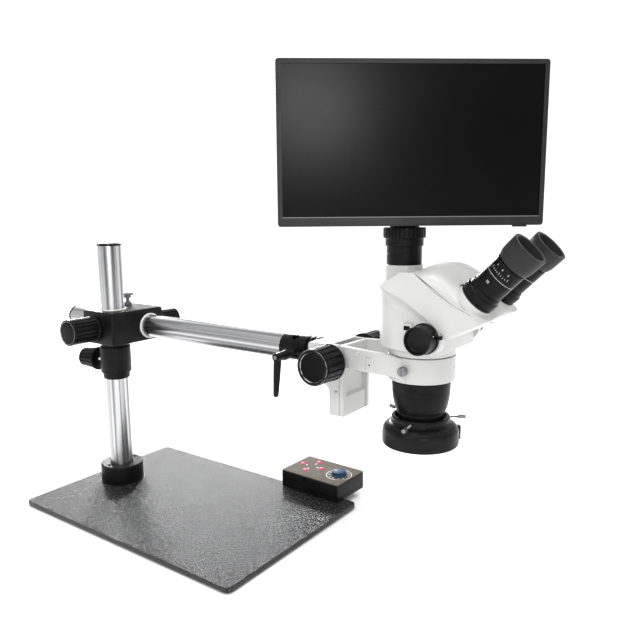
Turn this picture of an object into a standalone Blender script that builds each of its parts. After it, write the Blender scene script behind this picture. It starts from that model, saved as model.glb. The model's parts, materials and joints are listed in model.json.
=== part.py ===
"""Trinocular stereo microscope on a single-arm boom stand, with monitor and ring light.

The origin is the pillar's axis at the underside of the base. +Z is up, the
eyepieces and the boom point along -Y, and +X is to the user's left.
"""

import math

import bmesh
import bpy
from mathutils import Matrix, Vector

# ---------------------------------------------------------------- driving sizes
GAP = 0.0003                      # clearance between touching pieces

# Base
BASE_X = 0.254
BASE_FRONT = -0.334
BASE_REAR = 0.047
MAT_T = 0.0012
MAT_INSET = 0.004
PLATE_T = 0.0063
PLATE_Z = MAT_T + GAP
PLATE_TOP = PLATE_Z + PLATE_T
PLATE_CORNER_R = 0.008

# Pillar
PILLAR_R = 0.016
TUBE_WALL = 0.003
BORE_R = PILLAR_R + GAP
FLANGE_R = 0.030
FLANGE_H = 0.0262
FLANGE_SCREW_R = 0.023
PILLAR_TOP = 0.3573
CAP_T = 0.003

# Stop collar
COLLAR_Z0 = 0.163
COLLAR_Z1 = 0.2156
COLLAR_R = 0.0215
COLLAR_KNOB_Z = 0.188
COLLAR_KNOB_TURN = math.radians(9.5)

# Boom block and arm
BLOCK_X0 = -0.028
BLOCK_X1 = 0.062
BLOCK_Y0 = -0.034
BLOCK_Y1 = 0.032
BLOCK_Z0 = COLLAR_Z1 + GAP
BLOCK_Z1 = 0.2627
BUSH_R = 0.0182
BUSH_DEPTH = 0.008
BUSH_LIP = 0.0016
ARM_X = 0.0373
ARM_Z = 0.237
ARM_REAR = 0.138
ARM_FRONT = -0.288
KNOB_STUD_R = 0.004
PILLAR_KNOB_Y = 0.006
ARM_KNOB_Y = -0.013
CLAMP_KNOB_Z = 0.2385
SET_SCREW_X = 0.040
SET_SCREW_Y = 0.017

# Arm end fitting, tilt pin and lever
FITTING_END = -0.326
PIN_R = 0.009
LEVER_Y = -0.3095
LEVER_Z = 0.233

# Focus unit
UNIT_HALF_W = 0.0283
UNIT_REAR = -0.341
UNIT_LOWER_REAR = -0.370
UNIT_FRONT = -0.384
UNIT_Z0 = 0.170
UNIT_STEP_Z = 0.214
UNIT_Z1 = 0.2525
PINION_Y = -0.377
PINION_Z = 0.2342
PINION_R = 0.0039
KNOB_OUT = 0.0700                 # knob face from the symmetry plane
SLIDE_FRONT = -0.390

# Mounting ring and head
HEAD_Y = -0.4723
RING_R = 0.0363
RING_BORE_R = 0.0330
RING_Z0 = 0.2234
RING_Z1 = 0.2500
HEAD_FLANGE_Z = 0.2513
HEAD_FLANGE_R = 0.0362
BODY_Z0 = 0.260
BODY_HALF_W = 0.045
BODY_FRONT = -0.515
HEAD_HALF_W = 0.052
FLARE_DROP = 0.018
NOSE_FRONT = -0.5620              # foremost plane of the head's rounded plan
NOSE_REAR = -0.430
NOSE_R = 0.016
ZOOM_Y = -0.5005
ZOOM_Z = 0.2768

# Photo tube, camera and monitor
PHOTO_Y = -0.4494
PHOTO_R = 0.0198
PHOTO_Z0 = 0.3223
PHOTO_Z1 = 0.3440
ADAPTER_TOP = 0.3829
MONITOR_TURN = math.radians(-51.8)
MONITOR_W = 0.2665
MONITOR_H = 0.1593
MONITOR_FRONT = 0.040             # screen face from the photo tube's axis
MONITOR_T = 0.018
MONITOR_Z0 = 0.3853
SCREEN_W = 0.2568
SCREEN_H = 0.1450
BEZEL_T = 0.0050

# Objective and ring light
HOUSING_BOTTOM = 0.160
LENS_R = 0.0200
LIGHT_R = 0.0417
LIGHT_Z0 = 0.1485
LIGHT_BORE_R = 0.0280
LIGHT_TOP = 0.1815
LIGHT_SCREW_Z = 0.1780

# Eyepieces: two tubes inclined by 45 degrees
EYE_HALF_GAP = 0.03075
EYE_SEAT = Vector((0.0, -0.5443, 0.3168))   # tube axis where it meets the cover
EYE_PIVOT = 0.012                 # pivot of each tube, up the slope from its axis
EYE_BASE_R = 0.0185
EYE_BARREL_R = 0.0160
CUP_R = 0.01835
EYE_LENGTH = 0.0705

# Ring light control box
CONTROL_CORNER = Vector((0.1085, -0.3143, PLATE_TOP + GAP))
CONTROL_TURN = math.radians(-1.7)
CONTROL_W = 0.0645
CONTROL_L = 0.0985
CONTROL_H = 0.0252
PANEL_T = 0.0016
BUTTON_R = 0.0036
BUTTON_RING = 0.017
BUTTON_CENTRE = (0.0345, 0.0697)
DIAL_CENTRE = (0.0320, 0.0200)
DIAL_R = 0.0085
SOCKET_Y = 0.0120
SOCKET_Z = 0.0180

# Facets around turned shapes
FINE = 28
MEDIUM = 20
SMALL = 12

PARTS = None
CUTTERS = None

# ---------------------------------------------------------------- helpers


def clear_scene():
    """Remove every object and make the two collections."""
    global PARTS, CUTTERS
    for obj in list(bpy.data.objects):
        bpy.data.objects.remove(obj, do_unlink=True)
    PARTS = bpy.data.collections.new("stereo_microscope")
    CUTTERS = bpy.data.collections.new("cutters")
    bpy.context.scene.collection.children.link(PARTS)
    bpy.context.scene.collection.children.link(CUTTERS)


def principled(name, colour, roughness, metallic=0.0):
    """Return a material of one Principled BSDF."""
    material = bpy.data.materials.get(name)
    if material:
        return material
    material = bpy.data.materials.new(name)
    material.use_nodes = True
    shader = material.node_tree.nodes["Principled BSDF"]
    shader.inputs["Base Color"].default_value = (*colour, 1.0)
    shader.inputs["Roughness"].default_value = roughness
    shader.inputs["Metallic"].default_value = metallic
    return material


LOOKS = {
    "rubber": ((0.015, 0.015, 0.016), 0.80, 0.0),
    "black_paint": ((0.020, 0.020, 0.022), 0.38, 0.0),
    "steel": ((0.62, 0.62, 0.63), 0.25, 1.0),
    "bright_screw": ((0.75, 0.75, 0.76), 0.20, 1.0),
    "black_plastic": ((0.018, 0.018, 0.020), 0.42, 0.0),
    "white_paint": ((0.78, 0.78, 0.77), 0.42, 0.0),
    "white_nylon": ((0.85, 0.85, 0.83), 0.50, 0.0),
    "black_anodised": ((0.016, 0.016, 0.018), 0.32, 0.3),
    "glass": ((0.60, 0.65, 0.66), 0.05, 0.0),
    "screen": ((0.010, 0.010, 0.012), 0.12, 0.0),
    "bezel": ((0.045, 0.045, 0.047), 0.45, 0.0),
    "frosted": ((0.85, 0.86, 0.85), 0.55, 0.0),
    "taupe_panel": ((0.165, 0.145, 0.125), 0.50, 0.0),
    "pink_button": ((0.90, 0.20, 0.35), 0.40, 0.0),
    "blue_knob": ((0.030, 0.055, 0.120), 0.45, 0.0),
}


def look(name):
    return principled(name, *LOOKS[name])


def add_object(name, mesh, material, matrix=None, collection=None):
    """Link a mesh as an object with one material, at a place given by a matrix."""
    obj = bpy.data.objects.new(name, mesh)
    (collection or PARTS).objects.link(obj)
    if material:
        mesh.materials.clear()
        mesh.materials.append(look(material))
    if matrix is not None:
        obj.matrix_world = matrix
    return obj


def smooth(obj, degrees=35):
    obj.data.shade_smooth()
    obj.data.set_sharp_from_angle(angle=math.radians(degrees))


def box_mesh(size, centre=(0.0, 0.0, 0.0)):
    """Return a box mesh of the given size, with its scale applied."""
    mesh = bpy.data.meshes.new("box")
    bm = bmesh.new()
    matrix = Matrix.Translation(centre) @ Matrix.Diagonal((*size, 1.0))
    bmesh.ops.create_cube(bm, size=1.0, matrix=matrix)
    bm.to_mesh(mesh)
    bm.free()
    return mesh


def box(name, low, high, material, bevel=0.0, segments=2, matrix=None):
    """Add a box between two corners, with rounded edges when bevel is set."""
    size = [b - a for a, b in zip(low, high)]
    centre = [(a + b) / 2 for a, b in zip(low, high)]
    obj = add_object(name, box_mesh(size, centre), material, matrix)
    if bevel:
        round_edges(obj, bevel, segments)
    return obj


def round_edges(obj, width, segments=2, angle=30):
    bevel = obj.modifiers.new("rounded", "BEVEL")
    bevel.width = width
    bevel.segments = segments
    bevel.limit_method = "ANGLE"
    bevel.angle_limit = math.radians(angle)
    return bevel


def turned(name, profile, material, steps=MEDIUM, matrix=None, collection=None):
    """Turn a profile of (radius, height) points about local Z with a Screw modifier.

    The points run down the outer side from top to bottom, and then up the
    bore when there is one. A solid piece starts and ends on the axis.
    """
    mesh = bpy.data.meshes.new(name)
    bm = bmesh.new()
    verts = [bm.verts.new((r, 0.0, z)) for r, z in profile]
    for first, second in zip(verts, verts[1:]):
        bm.edges.new((first, second))
    if profile[0][0] > 0.0:
        bm.edges.new((verts[-1], verts[0]))
    bm.to_mesh(mesh)
    bm.free()
    obj = add_object(name, mesh, material, matrix, collection)
    screw = obj.modifiers.new("turned", "SCREW")
    screw.axis = "Z"
    screw.steps = steps
    screw.render_steps = steps
    screw.use_merge_vertices = True
    screw.merge_threshold = 0.00001
    screw.use_smooth_shade = True
    return obj


def arc(centre, radius, start, end, points):
    """Return points on a circular arc, in degrees, for a profile or outline."""
    result = []
    for i in range(points + 1):
        angle = math.radians(start + (end - start) * i / points)
        result.append((centre[0] + radius * math.cos(angle), centre[1] + radius * math.sin(angle)))
    return result


def facing(origin, direction):
    """Return a matrix at origin whose local Z points along direction."""
    turn = Vector(direction).to_track_quat("Z", "Y").to_matrix().to_4x4()
    return Matrix.Translation(origin) @ turn


def bake(obj):
    """Replace an object's modifiers by the mesh that they make."""
    graph = bpy.context.evaluated_depsgraph_get()
    graph.update()
    mesh = bpy.data.meshes.new_from_object(obj.evaluated_get(graph))
    obj.modifiers.clear()
    obj.data = mesh
    return obj


def cylinder_cutter(name, radius, start, end, steps=SMALL):
    """Return a hidden cylinder between two points, to cut with."""
    start = Vector(start)
    end = Vector(end)
    mesh = bpy.data.meshes.new(name)
    bm = bmesh.new()
    length = (end - start).length
    bmesh.ops.create_cone(bm, cap_ends=True, segments=steps, radius1=radius, radius2=radius,
                          depth=length, matrix=Matrix.Translation((0.0, 0.0, length / 2)))
    bm.to_mesh(mesh)
    bm.free()
    return hide(add_object(name, mesh, None, facing(start, end - start), CUTTERS))


def box_cutter(name, low, high):
    size = [b - a for a, b in zip(low, high)]
    centre = [(a + b) / 2 for a, b in zip(low, high)]
    return hide(add_object(name, box_mesh(size, centre), None, None, CUTTERS))


def hide(obj):
    obj.hide_render = True
    obj.display_type = "WIRE"
    return obj


def boolean(obj, cutter, operation="DIFFERENCE"):
    step = obj.modifiers.new(operation.lower(), "BOOLEAN")
    step.object = cutter
    step.operation = operation
    step.solver = "EXACT"
    return step


def absorb(obj, other):
    """Join another shape into an object as one closed body."""
    hide(other)
    for collection in list(other.users_collection):
        collection.objects.unlink(other)
    CUTTERS.objects.link(other)
    boolean(obj, other, "UNION")


def extruded(name, outline, low, high, axis, material, collection=None):
    """Extrude a closed outline along an axis, between two heights.

    The outline's points lie in the plane of the other two axes, in X, Y, Z order.
    """
    mesh = bpy.data.meshes.new(name)
    bm = bmesh.new()
    index = "XYZ".index(axis)
    verts = []
    for first, second in outline:
        point = [first, second]
        point.insert(index, low)
        verts.append(bm.verts.new(point))
    face = bm.faces.new(verts)
    moved = bmesh.ops.extrude_face_region(bm, geom=[face])
    offset = Vector((0.0, 0.0, 0.0))
    offset[index] = high - low
    top = [item for item in moved["geom"] if isinstance(item, bmesh.types.BMVert)]
    bmesh.ops.translate(bm, vec=offset, verts=top)
    bmesh.ops.recalc_face_normals(bm, faces=bm.faces)
    bm.to_mesh(mesh)
    bm.free()
    return add_object(name, mesh, material, None, collection)


def loft(name, sections, material, matrix=None, collection=None):
    """Skin closed sections of equal point counts, and cap both ends."""
    mesh = bpy.data.meshes.new(name)
    bm = bmesh.new()
    rings = [[bm.verts.new(point) for point in section] for section in sections]
    count = len(rings[0])
    for lower, upper in zip(rings, rings[1:]):
        for i in range(count):
            j = (i + 1) % count
            bm.faces.new((lower[i], lower[j], upper[j], upper[i]))
    bm.faces.new(list(reversed(rings[0])))
    bm.faces.new(rings[-1])
    bmesh.ops.recalc_face_normals(bm, faces=bm.faces)
    bm.to_mesh(mesh)
    bm.free()
    return add_object(name, mesh, material, matrix, collection)


def fluted_ring(radius, depth, z, flutes):
    """Return a section of a fluted grip: four points for each flute."""
    points = []
    for i in range(flutes):
        for share, inset in ((0.0, 0.0), (0.55, 0.0), (0.70, depth), (0.85, depth)):
            angle = 2 * math.pi * (i + share) / flutes
            points.append(((radius - inset) * math.cos(angle), (radius - inset) * math.sin(angle), z))
    return points


def fluted_knob(name, stations, flutes, matrix, material="black_plastic"):
    """Make a grip along local Z from (height, radius, flute depth) stations."""
    sections = [fluted_ring(radius, depth, z, flutes) for z, radius, depth in stations]
    return loft(name, sections, material, matrix)


def clamp_knob(name, matrix, base_r, end_r, length, stud_r, stud_length):
    """Make a fluted clamp knob with its moulded-in stud pointing along local -Z."""
    knob = fluted_knob(name, [
        (0.0, base_r, 0.0), (0.0030, base_r, 0.0), (0.0033, base_r - 0.0010, 0.0014),
        (length - 0.0034, end_r, 0.0014), (length - 0.0030, end_r + 0.0004, 0.0), (length, end_r - 0.0012, 0.0),
    ], 10, matrix)
    stud = turned(name + "_stud", [
        (0.0, 0.002), (stud_r, 0.002), (stud_r, -stud_length), (0.0, -stud_length),
    ], None, SMALL, matrix, CUTTERS)
    absorb(knob, stud)
    return knob


def rounded_rectangle(x0, y0, x1, y1, radius, points=4):
    """Return the outline of a rectangle with round corners."""
    corners = (
        ((x1 - radius, y1 - radius), 0), ((x0 + radius, y1 - radius), 90),
        ((x0 + radius, y0 + radius), 180), ((x1 - radius, y0 + radius), 270),
    )
    outline = []
    for centre, start in corners:
        outline += arc(centre, radius, start, start + 90, points)
    return outline


# ---------------------------------------------------------------- base and pillar


def make_base():
    """Anti-slip mat, steel base plate, pillar flange and its two screws."""
    half = BASE_X / 2
    inset = MAT_INSET
    mat_outline = rounded_rectangle(-half + inset, BASE_FRONT + inset, half - inset,
                                    BASE_REAR - inset, PLATE_CORNER_R)
    extruded("base_mat", mat_outline, 0.0, MAT_T, "Z", "rubber")

    plate_outline = rounded_rectangle(-half, BASE_FRONT, half, BASE_REAR, PLATE_CORNER_R)
    plate = extruded("base_plate", plate_outline, PLATE_Z, PLATE_TOP, "Z", "black_paint")
    round_edges(plate, 0.0012, 2)
    bake(plate)

    z0 = PLATE_TOP + GAP
    z1 = z0 + FLANGE_H
    flange = turned("pillar_flange", [
        (BORE_R, z1), (FLANGE_R - 0.0025, z1),
        *arc((FLANGE_R - 0.0025, z1 - 0.0025), 0.0025, 60, 0, 2),
        (FLANGE_R, z0), (BORE_R, z0),
    ], "black_paint", FINE)
    for i, x in enumerate((-FLANGE_SCREW_R, FLANGE_SCREW_R), start=1):
        head_hole = cylinder_cutter(f"head_hole_{i}", 0.0045, (x, 0.0, z1 - 0.005), (x, 0.0, z1 + 0.01))
        shank_hole = cylinder_cutter(f"shank_hole_{i}", 0.0027, (x, 0.0, PLATE_TOP - 0.0042), (x, 0.0, z1))
        boolean(flange, head_hole)
        boolean(flange, shank_hole)
        boolean(plate, shank_hole)
        screw = turned(f"flange_screw_{i}", [
            (0.0, -0.0026), (0.0017, -0.0026), (0.0017, -0.0006), (0.0040, -0.0006), (0.0042, -0.001),
            (0.0042, -0.0047), (0.0024, -0.0047), (0.0024, PLATE_TOP - 0.0038 - z1),
            (0.0, PLATE_TOP - 0.0038 - z1),
        ], "bright_screw", SMALL, Matrix.Translation((x, 0.0, z1)))
        smooth(bake(screw))


def make_pillar():
    """Steel pillar tube with its black end cap."""
    z0 = PLATE_TOP + GAP
    z1 = PILLAR_TOP - CAP_T - GAP
    bore = PILLAR_R - TUBE_WALL
    turned("pillar", [
        (bore, z1), (PILLAR_R - 0.0005, z1), (PILLAR_R, z1 - 0.0005), (PILLAR_R, z0), (bore, z0),
    ], "steel", FINE)
    plug = bore - GAP
    turned("pillar_cap", [
        (0.0, PILLAR_TOP), (PILLAR_R - 0.001, PILLAR_TOP), (PILLAR_R, PILLAR_TOP - 0.001),
        (PILLAR_R, z1 + GAP), (plug, z1 + GAP), (plug, z1 - 0.012), (0.0, z1 - 0.012),
    ], "black_plastic", FINE)


# ---------------------------------------------------------------- carriage on the pillar


def make_stop_collar():
    """Stop collar below the block, with its clamp knob to the rear."""
    collar = turned("stop_collar", [
        (BORE_R, COLLAR_Z1), (0.0190, COLLAR_Z1), (0.0190, COLLAR_Z1 - 0.0050),
        (COLLAR_R - 0.001, COLLAR_Z1 - 0.0055), (COLLAR_R, COLLAR_Z1 - 0.0065),
        (COLLAR_R, COLLAR_Z0 + 0.0110), (COLLAR_R - 0.001, COLLAR_Z0 + 0.0100),
        (0.0190, COLLAR_Z0 + 0.0090), (0.0186, COLLAR_Z0 + 0.0020), (0.0174, COLLAR_Z0),
        (BORE_R, COLLAR_Z0),
    ], "black_paint", FINE)
    out = Vector((-math.sin(COLLAR_KNOB_TURN), math.cos(COLLAR_KNOB_TURN), 0.0))
    centre = Vector((0.0, 0.0, COLLAR_KNOB_Z))
    hole = cylinder_cutter("collar_stud_hole", KNOB_STUD_R - 0.0002, centre + out * 0.012, centre + out * 0.03)
    boolean(collar, hole)
    bake(collar)
    clamp_knob("collar_knob", facing(centre + out * 0.030, out), 0.0172, 0.0130, 0.030,
               KNOB_STUD_R - 0.0005, 0.0132)


def make_block():
    """Boom block with bushes for pillar and arm, two clamp knobs and a set screw."""
    block = box("boom_block", (BLOCK_X0, BLOCK_Y0, BLOCK_Z0), (BLOCK_X1, BLOCK_Y1, BLOCK_Z1),
                "black_paint", 0.003, 3)
    cuts = (
        cylinder_cutter("pillar_bore", BORE_R, (0, 0, 0.20), (0, 0, 0.28), FINE),
        cylinder_cutter("pillar_bush_seat", BUSH_R + GAP, (0, 0, BLOCK_Z1 - BUSH_DEPTH), (0, 0, 0.28), FINE),
        cylinder_cutter("arm_bore", BORE_R, (ARM_X, -0.05, ARM_Z), (ARM_X, 0.05, ARM_Z), FINE),
        cylinder_cutter("arm_bush_seat", BUSH_R + GAP, (ARM_X, -0.05, ARM_Z),
                        (ARM_X, BLOCK_Y0 + BUSH_DEPTH, ARM_Z), FINE),
        cylinder_cutter("pillar_stud_hole", KNOB_STUD_R + GAP, (-0.05, PILLAR_KNOB_Y, CLAMP_KNOB_Z),
                        (-0.010, PILLAR_KNOB_Y, CLAMP_KNOB_Z)),
        cylinder_cutter("arm_stud_hole", KNOB_STUD_R + GAP, (0.045, ARM_KNOB_Y, CLAMP_KNOB_Z),
                        (0.08, ARM_KNOB_Y, CLAMP_KNOB_Z)),
        cylinder_cutter("set_screw_hole", 0.0029, (SET_SCREW_X, SET_SCREW_Y, 0.245),
                        (SET_SCREW_X, SET_SCREW_Y, 0.28)),
    )
    for cut in cuts:
        boolean(block, cut)
    bake(block)
    make_bush("pillar_bush", Matrix.Translation((0.0, 0.0, BLOCK_Z1)))
    make_bush("arm_bush", facing((ARM_X, BLOCK_Y0, ARM_Z), (0.0, -1.0, 0.0)))

    stud_length = -PILLAR_R + GAP - BLOCK_X0 + 0.0012
    clamp_knob("pillar_clamp_knob", facing((BLOCK_X0 - 0.002, PILLAR_KNOB_Y, CLAMP_KNOB_Z), (-1, 0, 0)),
               0.0182, 0.0165, 0.036, KNOB_STUD_R, stud_length)
    stud_length = BLOCK_X1 - ARM_X - PILLAR_R + 0.0012
    clamp_knob("arm_clamp_knob", facing((BLOCK_X1 + 0.002, ARM_KNOB_Y, CLAMP_KNOB_Z), (1, 0, 0)),
               0.0178, 0.0160, 0.037, KNOB_STUD_R, stud_length)

    turned("block_thumb_screw", [
        (0.0, 0.0160), (0.0055, 0.0160), (0.0064, 0.0152), (0.0064, 0.0132), (0.0050, 0.0120),
        (0.0032, 0.0105), (0.0032, 0.0070), (0.0026, 0.0060), (0.0026, -0.0088), (0.0, -0.0088),
    ], "bright_screw", SMALL, Matrix.Translation((SET_SCREW_X, SET_SCREW_Y, BLOCK_Z1)))


def make_bush(name, matrix):
    """White sliding bush: a sleeve in its seat with a small lip outside."""
    turned(name, [
        (BORE_R, BUSH_LIP), (BUSH_R - 0.0004, BUSH_LIP), (BUSH_R, BUSH_LIP - 0.0004),
        (BUSH_R, -BUSH_DEPTH + GAP), (BORE_R, -BUSH_DEPTH + GAP),
    ], "white_nylon", FINE, matrix)


def make_arm():
    """Boom arm tube, its end fitting and the clamp lever."""
    along = facing((ARM_X, ARM_FRONT, ARM_Z), (0.0, 1.0, 0.0))
    length = ARM_REAR - ARM_FRONT
    bore = PILLAR_R - TUBE_WALL
    turned("boom_arm", [
        (bore, length), (PILLAR_R - 0.0005, length), (PILLAR_R, length - 0.0005),
        (PILLAR_R, 0.0), (bore, 0.0),
    ], "steel", FINE, along)

    plug = bore - GAP
    depth = ARM_FRONT - FITTING_END
    hole = PIN_R + GAP
    fitting = turned("arm_end_fitting", [
        (0.0, 0.026), (plug - 0.001, 0.026), (plug, 0.025), (plug, -GAP), (PILLAR_R, -GAP),
        (PILLAR_R, -depth), (hole, -depth), (hole, -0.008), (0.0, -0.008),
    ], "black_anodised", FINE, along)
    lever_hole = cylinder_cutter("lever_hole", 0.0033, (0.010, LEVER_Y, LEVER_Z), (ARM_X - 0.007, LEVER_Y, LEVER_Z))
    tilt = math.radians(30)
    top = Vector((-math.sin(tilt), 0.0, math.cos(tilt)))
    middle = Vector((ARM_X, -0.308, ARM_Z))
    sight_hole = cylinder_cutter("set_hole", 0.0044, middle + top * 0.0125, middle + top * 0.022)
    boolean(fitting, lever_hole)
    boolean(fitting, sight_hole)
    smooth(bake(fitting))
    make_lever()


def make_lever():
    """Ratchet clamp lever: hub on the stud's axis and a tapering handle hanging down."""
    matrix = facing((0.0095, LEVER_Y, LEVER_Z), (-1.0, 0.0, 0.0))
    lever = turned("clamp_lever", [
        (0.0, 0.0225), (0.0040, 0.0225), (0.0047, 0.0215), (0.0052, 0.0120), (0.0062, 0.0040),
        (0.0062, 0.0), (0.0030, 0.0), (0.0030, -0.0180), (0.0, -0.0180),
    ], "black_plastic", SMALL, matrix)
    handle_x = 0.0095 - 0.0170
    sections = []
    for drop, half_x, half_y in ((0.0, 0.0042, 0.0044), (0.018, 0.0038, 0.0041), (0.0455, 0.0028, 0.0029),
                                 (0.0470, 0.0018, 0.0019)):
        z = LEVER_Z - drop
        lean = handle_x - 0.0020 * drop / 0.047
        sections.append([(lean + half_x * math.cos(a), LEVER_Y + half_y * math.sin(a), z)
                         for a in (2 * math.pi * i / 12 for i in range(12))])
    handle = loft("lever_handle", sections, None, None, CUTTERS)
    absorb(lever, handle)
    smooth(bake(lever))


# ---------------------------------------------------------------- focus unit


def make_focus_unit():
    """Tilt pin, fixed focus body, pinion with two knobs, rack, and slide with mounting ring."""
    along = facing((ARM_X, 0.0, ARM_Z), (0.0, 1.0, 0.0))
    start = FITTING_END - GAP
    turned("tilt_pin", [
        (0.0, -0.2970), (PIN_R, -0.2970), (PIN_R, start), (0.0135, start), (0.0135, -0.3282),
        (0.0158, -0.3285), (0.0158, -0.3330), (0.0135, -0.3333), (0.0135, -0.3352), (0.0158, -0.3355),
        (0.0158, UNIT_REAR + GAP), (PIN_R, UNIT_REAR + GAP), (PIN_R, -0.3600), (0.0, -0.3600),
    ], "black_anodised", FINE, along)

    x0 = ARM_X - UNIT_HALF_W
    x1 = ARM_X + UNIT_HALF_W
    body = extruded("focus_body", [
        (UNIT_REAR, UNIT_Z1), (UNIT_REAR, UNIT_STEP_Z), (UNIT_LOWER_REAR, UNIT_STEP_Z - 0.012),
        (UNIT_LOWER_REAR, UNIT_Z0), (UNIT_FRONT, UNIT_Z0), (UNIT_FRONT, UNIT_Z1),
    ], x0, x1, "X", "white_paint")
    round_edges(body, 0.0010, 2)
    cuts = (
        cylinder_cutter("pin_socket", PIN_R + GAP, (ARM_X, -0.33, ARM_Z), (ARM_X, -0.3603, ARM_Z), MEDIUM),
        cylinder_cutter("pinion_bore", 0.0034, (x0 - 0.02, PINION_Y, PINION_Z), (x1 + 0.02, PINION_Y, PINION_Z)),
        box_cutter("rack_channel", (ARM_X - 0.0230, -0.40, UNIT_Z0 - 0.01),
                   (ARM_X + 0.0230, PINION_Y + 0.0048, UNIT_Z1 + 0.01)),
    )
    for cut in cuts:
        boolean(body, cut)
    bake(body)

    reach = KNOB_OUT - 0.006
    cross = facing((ARM_X, PINION_Y, PINION_Z), (1.0, 0.0, 0.0))
    turned("pinion_shaft", [
        (0.0, reach), (0.0030, reach), (0.0030, 0.0200), (PINION_R, 0.0200), (PINION_R, -0.0200),
        (0.0030, -0.0200), (0.0030, -reach), (0.0, -reach),
    ], "bright_screw", SMALL, cross)
    inner = UNIT_HALF_W + 0.0075
    for side, sign in (("left", 1.0), ("right", -1.0)):
        place = facing((ARM_X + sign * inner, PINION_Y, PINION_Z), (sign, 0.0, 0.0))
        long = KNOB_OUT - inner
        knob = fluted_knob(f"focus_knob_{side}", [
            (0.0, 0.0208, 0.0), (0.0030, 0.0212, 0.0), (0.0034, 0.0206, 0.0014),
            (long - 0.0044, 0.0200, 0.0014), (long - 0.0040, 0.0203, 0.0), (long, 0.0195, 0.0),
        ], 12, place)
        boolean(knob, cylinder_cutter(f"knob_bore_{side}", 0.0033,
                                      place @ Vector((0, 0, -0.01)), place @ Vector((0, 0, long - 0.0055))))
        boolean(knob, cylinder_cutter(f"knob_dish_{side}", 0.0165,
                                      place @ Vector((0, 0, long - 0.0020)), place @ Vector((0, 0, long + 0.01)),
                                      MEDIUM))
        bake(knob)

    rack_front = UNIT_FRONT
    box("focus_rack", (ARM_X - 0.0225, rack_front, UNIT_Z0 + 0.002),
        (ARM_X + 0.0225, PINION_Y - PINION_R - GAP, UNIT_Z1 - 0.0005), "black_anodised")
    make_ring_bracket(x0, x1)


def make_ring_bracket(x0, x1):
    """Slide plate, two side arms and the clamp ring that holds the head, as one casting."""
    slide = box("ring_bracket", (x0, SLIDE_FRONT, UNIT_Z0), (x1, UNIT_FRONT - GAP, UNIT_Z1), "white_paint")
    round_edges(slide, 0.0010, 2)
    recess = box_cutter("slide_recess", (x0 + 0.0055, -0.40, UNIT_Z0 + 0.006),
                        (x1 - 0.0055, SLIDE_FRONT + 0.0025, 0.222))
    boolean(slide, recess)

    stations = (
        (SLIDE_FRONT + 0.003, UNIT_HALF_W, UNIT_HALF_W - 0.0070, UNIT_Z1 - 0.0001),
        (-0.4510, 0.0373, 0.0318, 0.2523),
        (HEAD_Y + 0.0040, 0.0368, 0.0310, RING_Z1 - 0.0035),
    )
    for side, sign in (("near", -1.0), ("far", 1.0)):
        sections = []
        for y, outer, inner, arm_top in stations:
            low = RING_Z0 + 0.0050
            sections.append([(ARM_X + sign * outer, y, low), (ARM_X + sign * outer, y, arm_top),
                             (ARM_X + sign * inner, y, arm_top), (ARM_X + sign * inner, y, low)])
        absorb(slide, loft(f"bracket_arm_{side}", sections, None, None, CUTTERS))
    bake(slide)
    boolean(slide, cylinder_cutter("flange_relief", HEAD_FLANGE_R + 0.0004, (ARM_X, HEAD_Y, HEAD_FLANGE_Z - 0.0006),
                                   (ARM_X, HEAD_Y, 0.27), FINE))
    boolean(slide, cylinder_cutter("ring_room", RING_R - 0.0015, (ARM_X, HEAD_Y, 0.20),
                                   (ARM_X, HEAD_Y, 0.27), FINE))
    ring = turned("clamp_ring", [
        (RING_BORE_R, RING_Z1), (RING_R - 0.0006, RING_Z1), (RING_R, RING_Z1 - 0.0006),
        (RING_R, RING_Z0 + 0.0006), (RING_R - 0.0006, RING_Z0), (RING_BORE_R, RING_Z0),
    ], None, FINE, Matrix.Translation((ARM_X, HEAD_Y, 0.0)), CUTTERS)
    absorb(slide, ring)
    bake(slide)
    screw_z = 0.2380
    boolean(slide, cylinder_cutter("ring_screw_hole", 0.0023, (-0.01, HEAD_Y, screw_z), (0.01, HEAD_Y, screw_z)))
    bake(slide)
    turned("ring_thumb_screw", [
        (0.0, 0.0068), (0.0034, 0.0068), (0.0041, 0.0062), (0.0041, 0.0015), (0.0036, 0.0008),
        (0.0020, 0.0), (0.0020, -0.0062), (0.0, -0.0062),
    ], "bright_screw", SMALL, facing((ARM_X - RING_R - 0.0030, HEAD_Y, screw_z), (-1.0, 0.0, 0.0)))


# ---------------------------------------------------------------- head


def seam_line():
    """Return the seam between body and cover, from the crest down to the nose."""
    return [(-0.4873, 0.3408), (-0.5098, 0.3228), (-0.5290, 0.3118), (-0.5600, 0.2976)]


def nose_plan():
    """Return a cutter with the head's plan: straight sides and round front corners."""
    half = HEAD_HALF_W + 0.0006
    points = [(ARM_X + half, NOSE_REAR), (ARM_X - half, NOSE_REAR)]
    points += arc((ARM_X - half + NOSE_R, NOSE_FRONT + NOSE_R), NOSE_R, 180, 270, 6)
    points += arc((ARM_X + half - NOSE_R, NOSE_FRONT + NOSE_R), NOSE_R, 270, 360, 6)
    return hide(extruded("nose_plan", points, 0.25, 0.37, "Z", None, CUTTERS))


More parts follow.
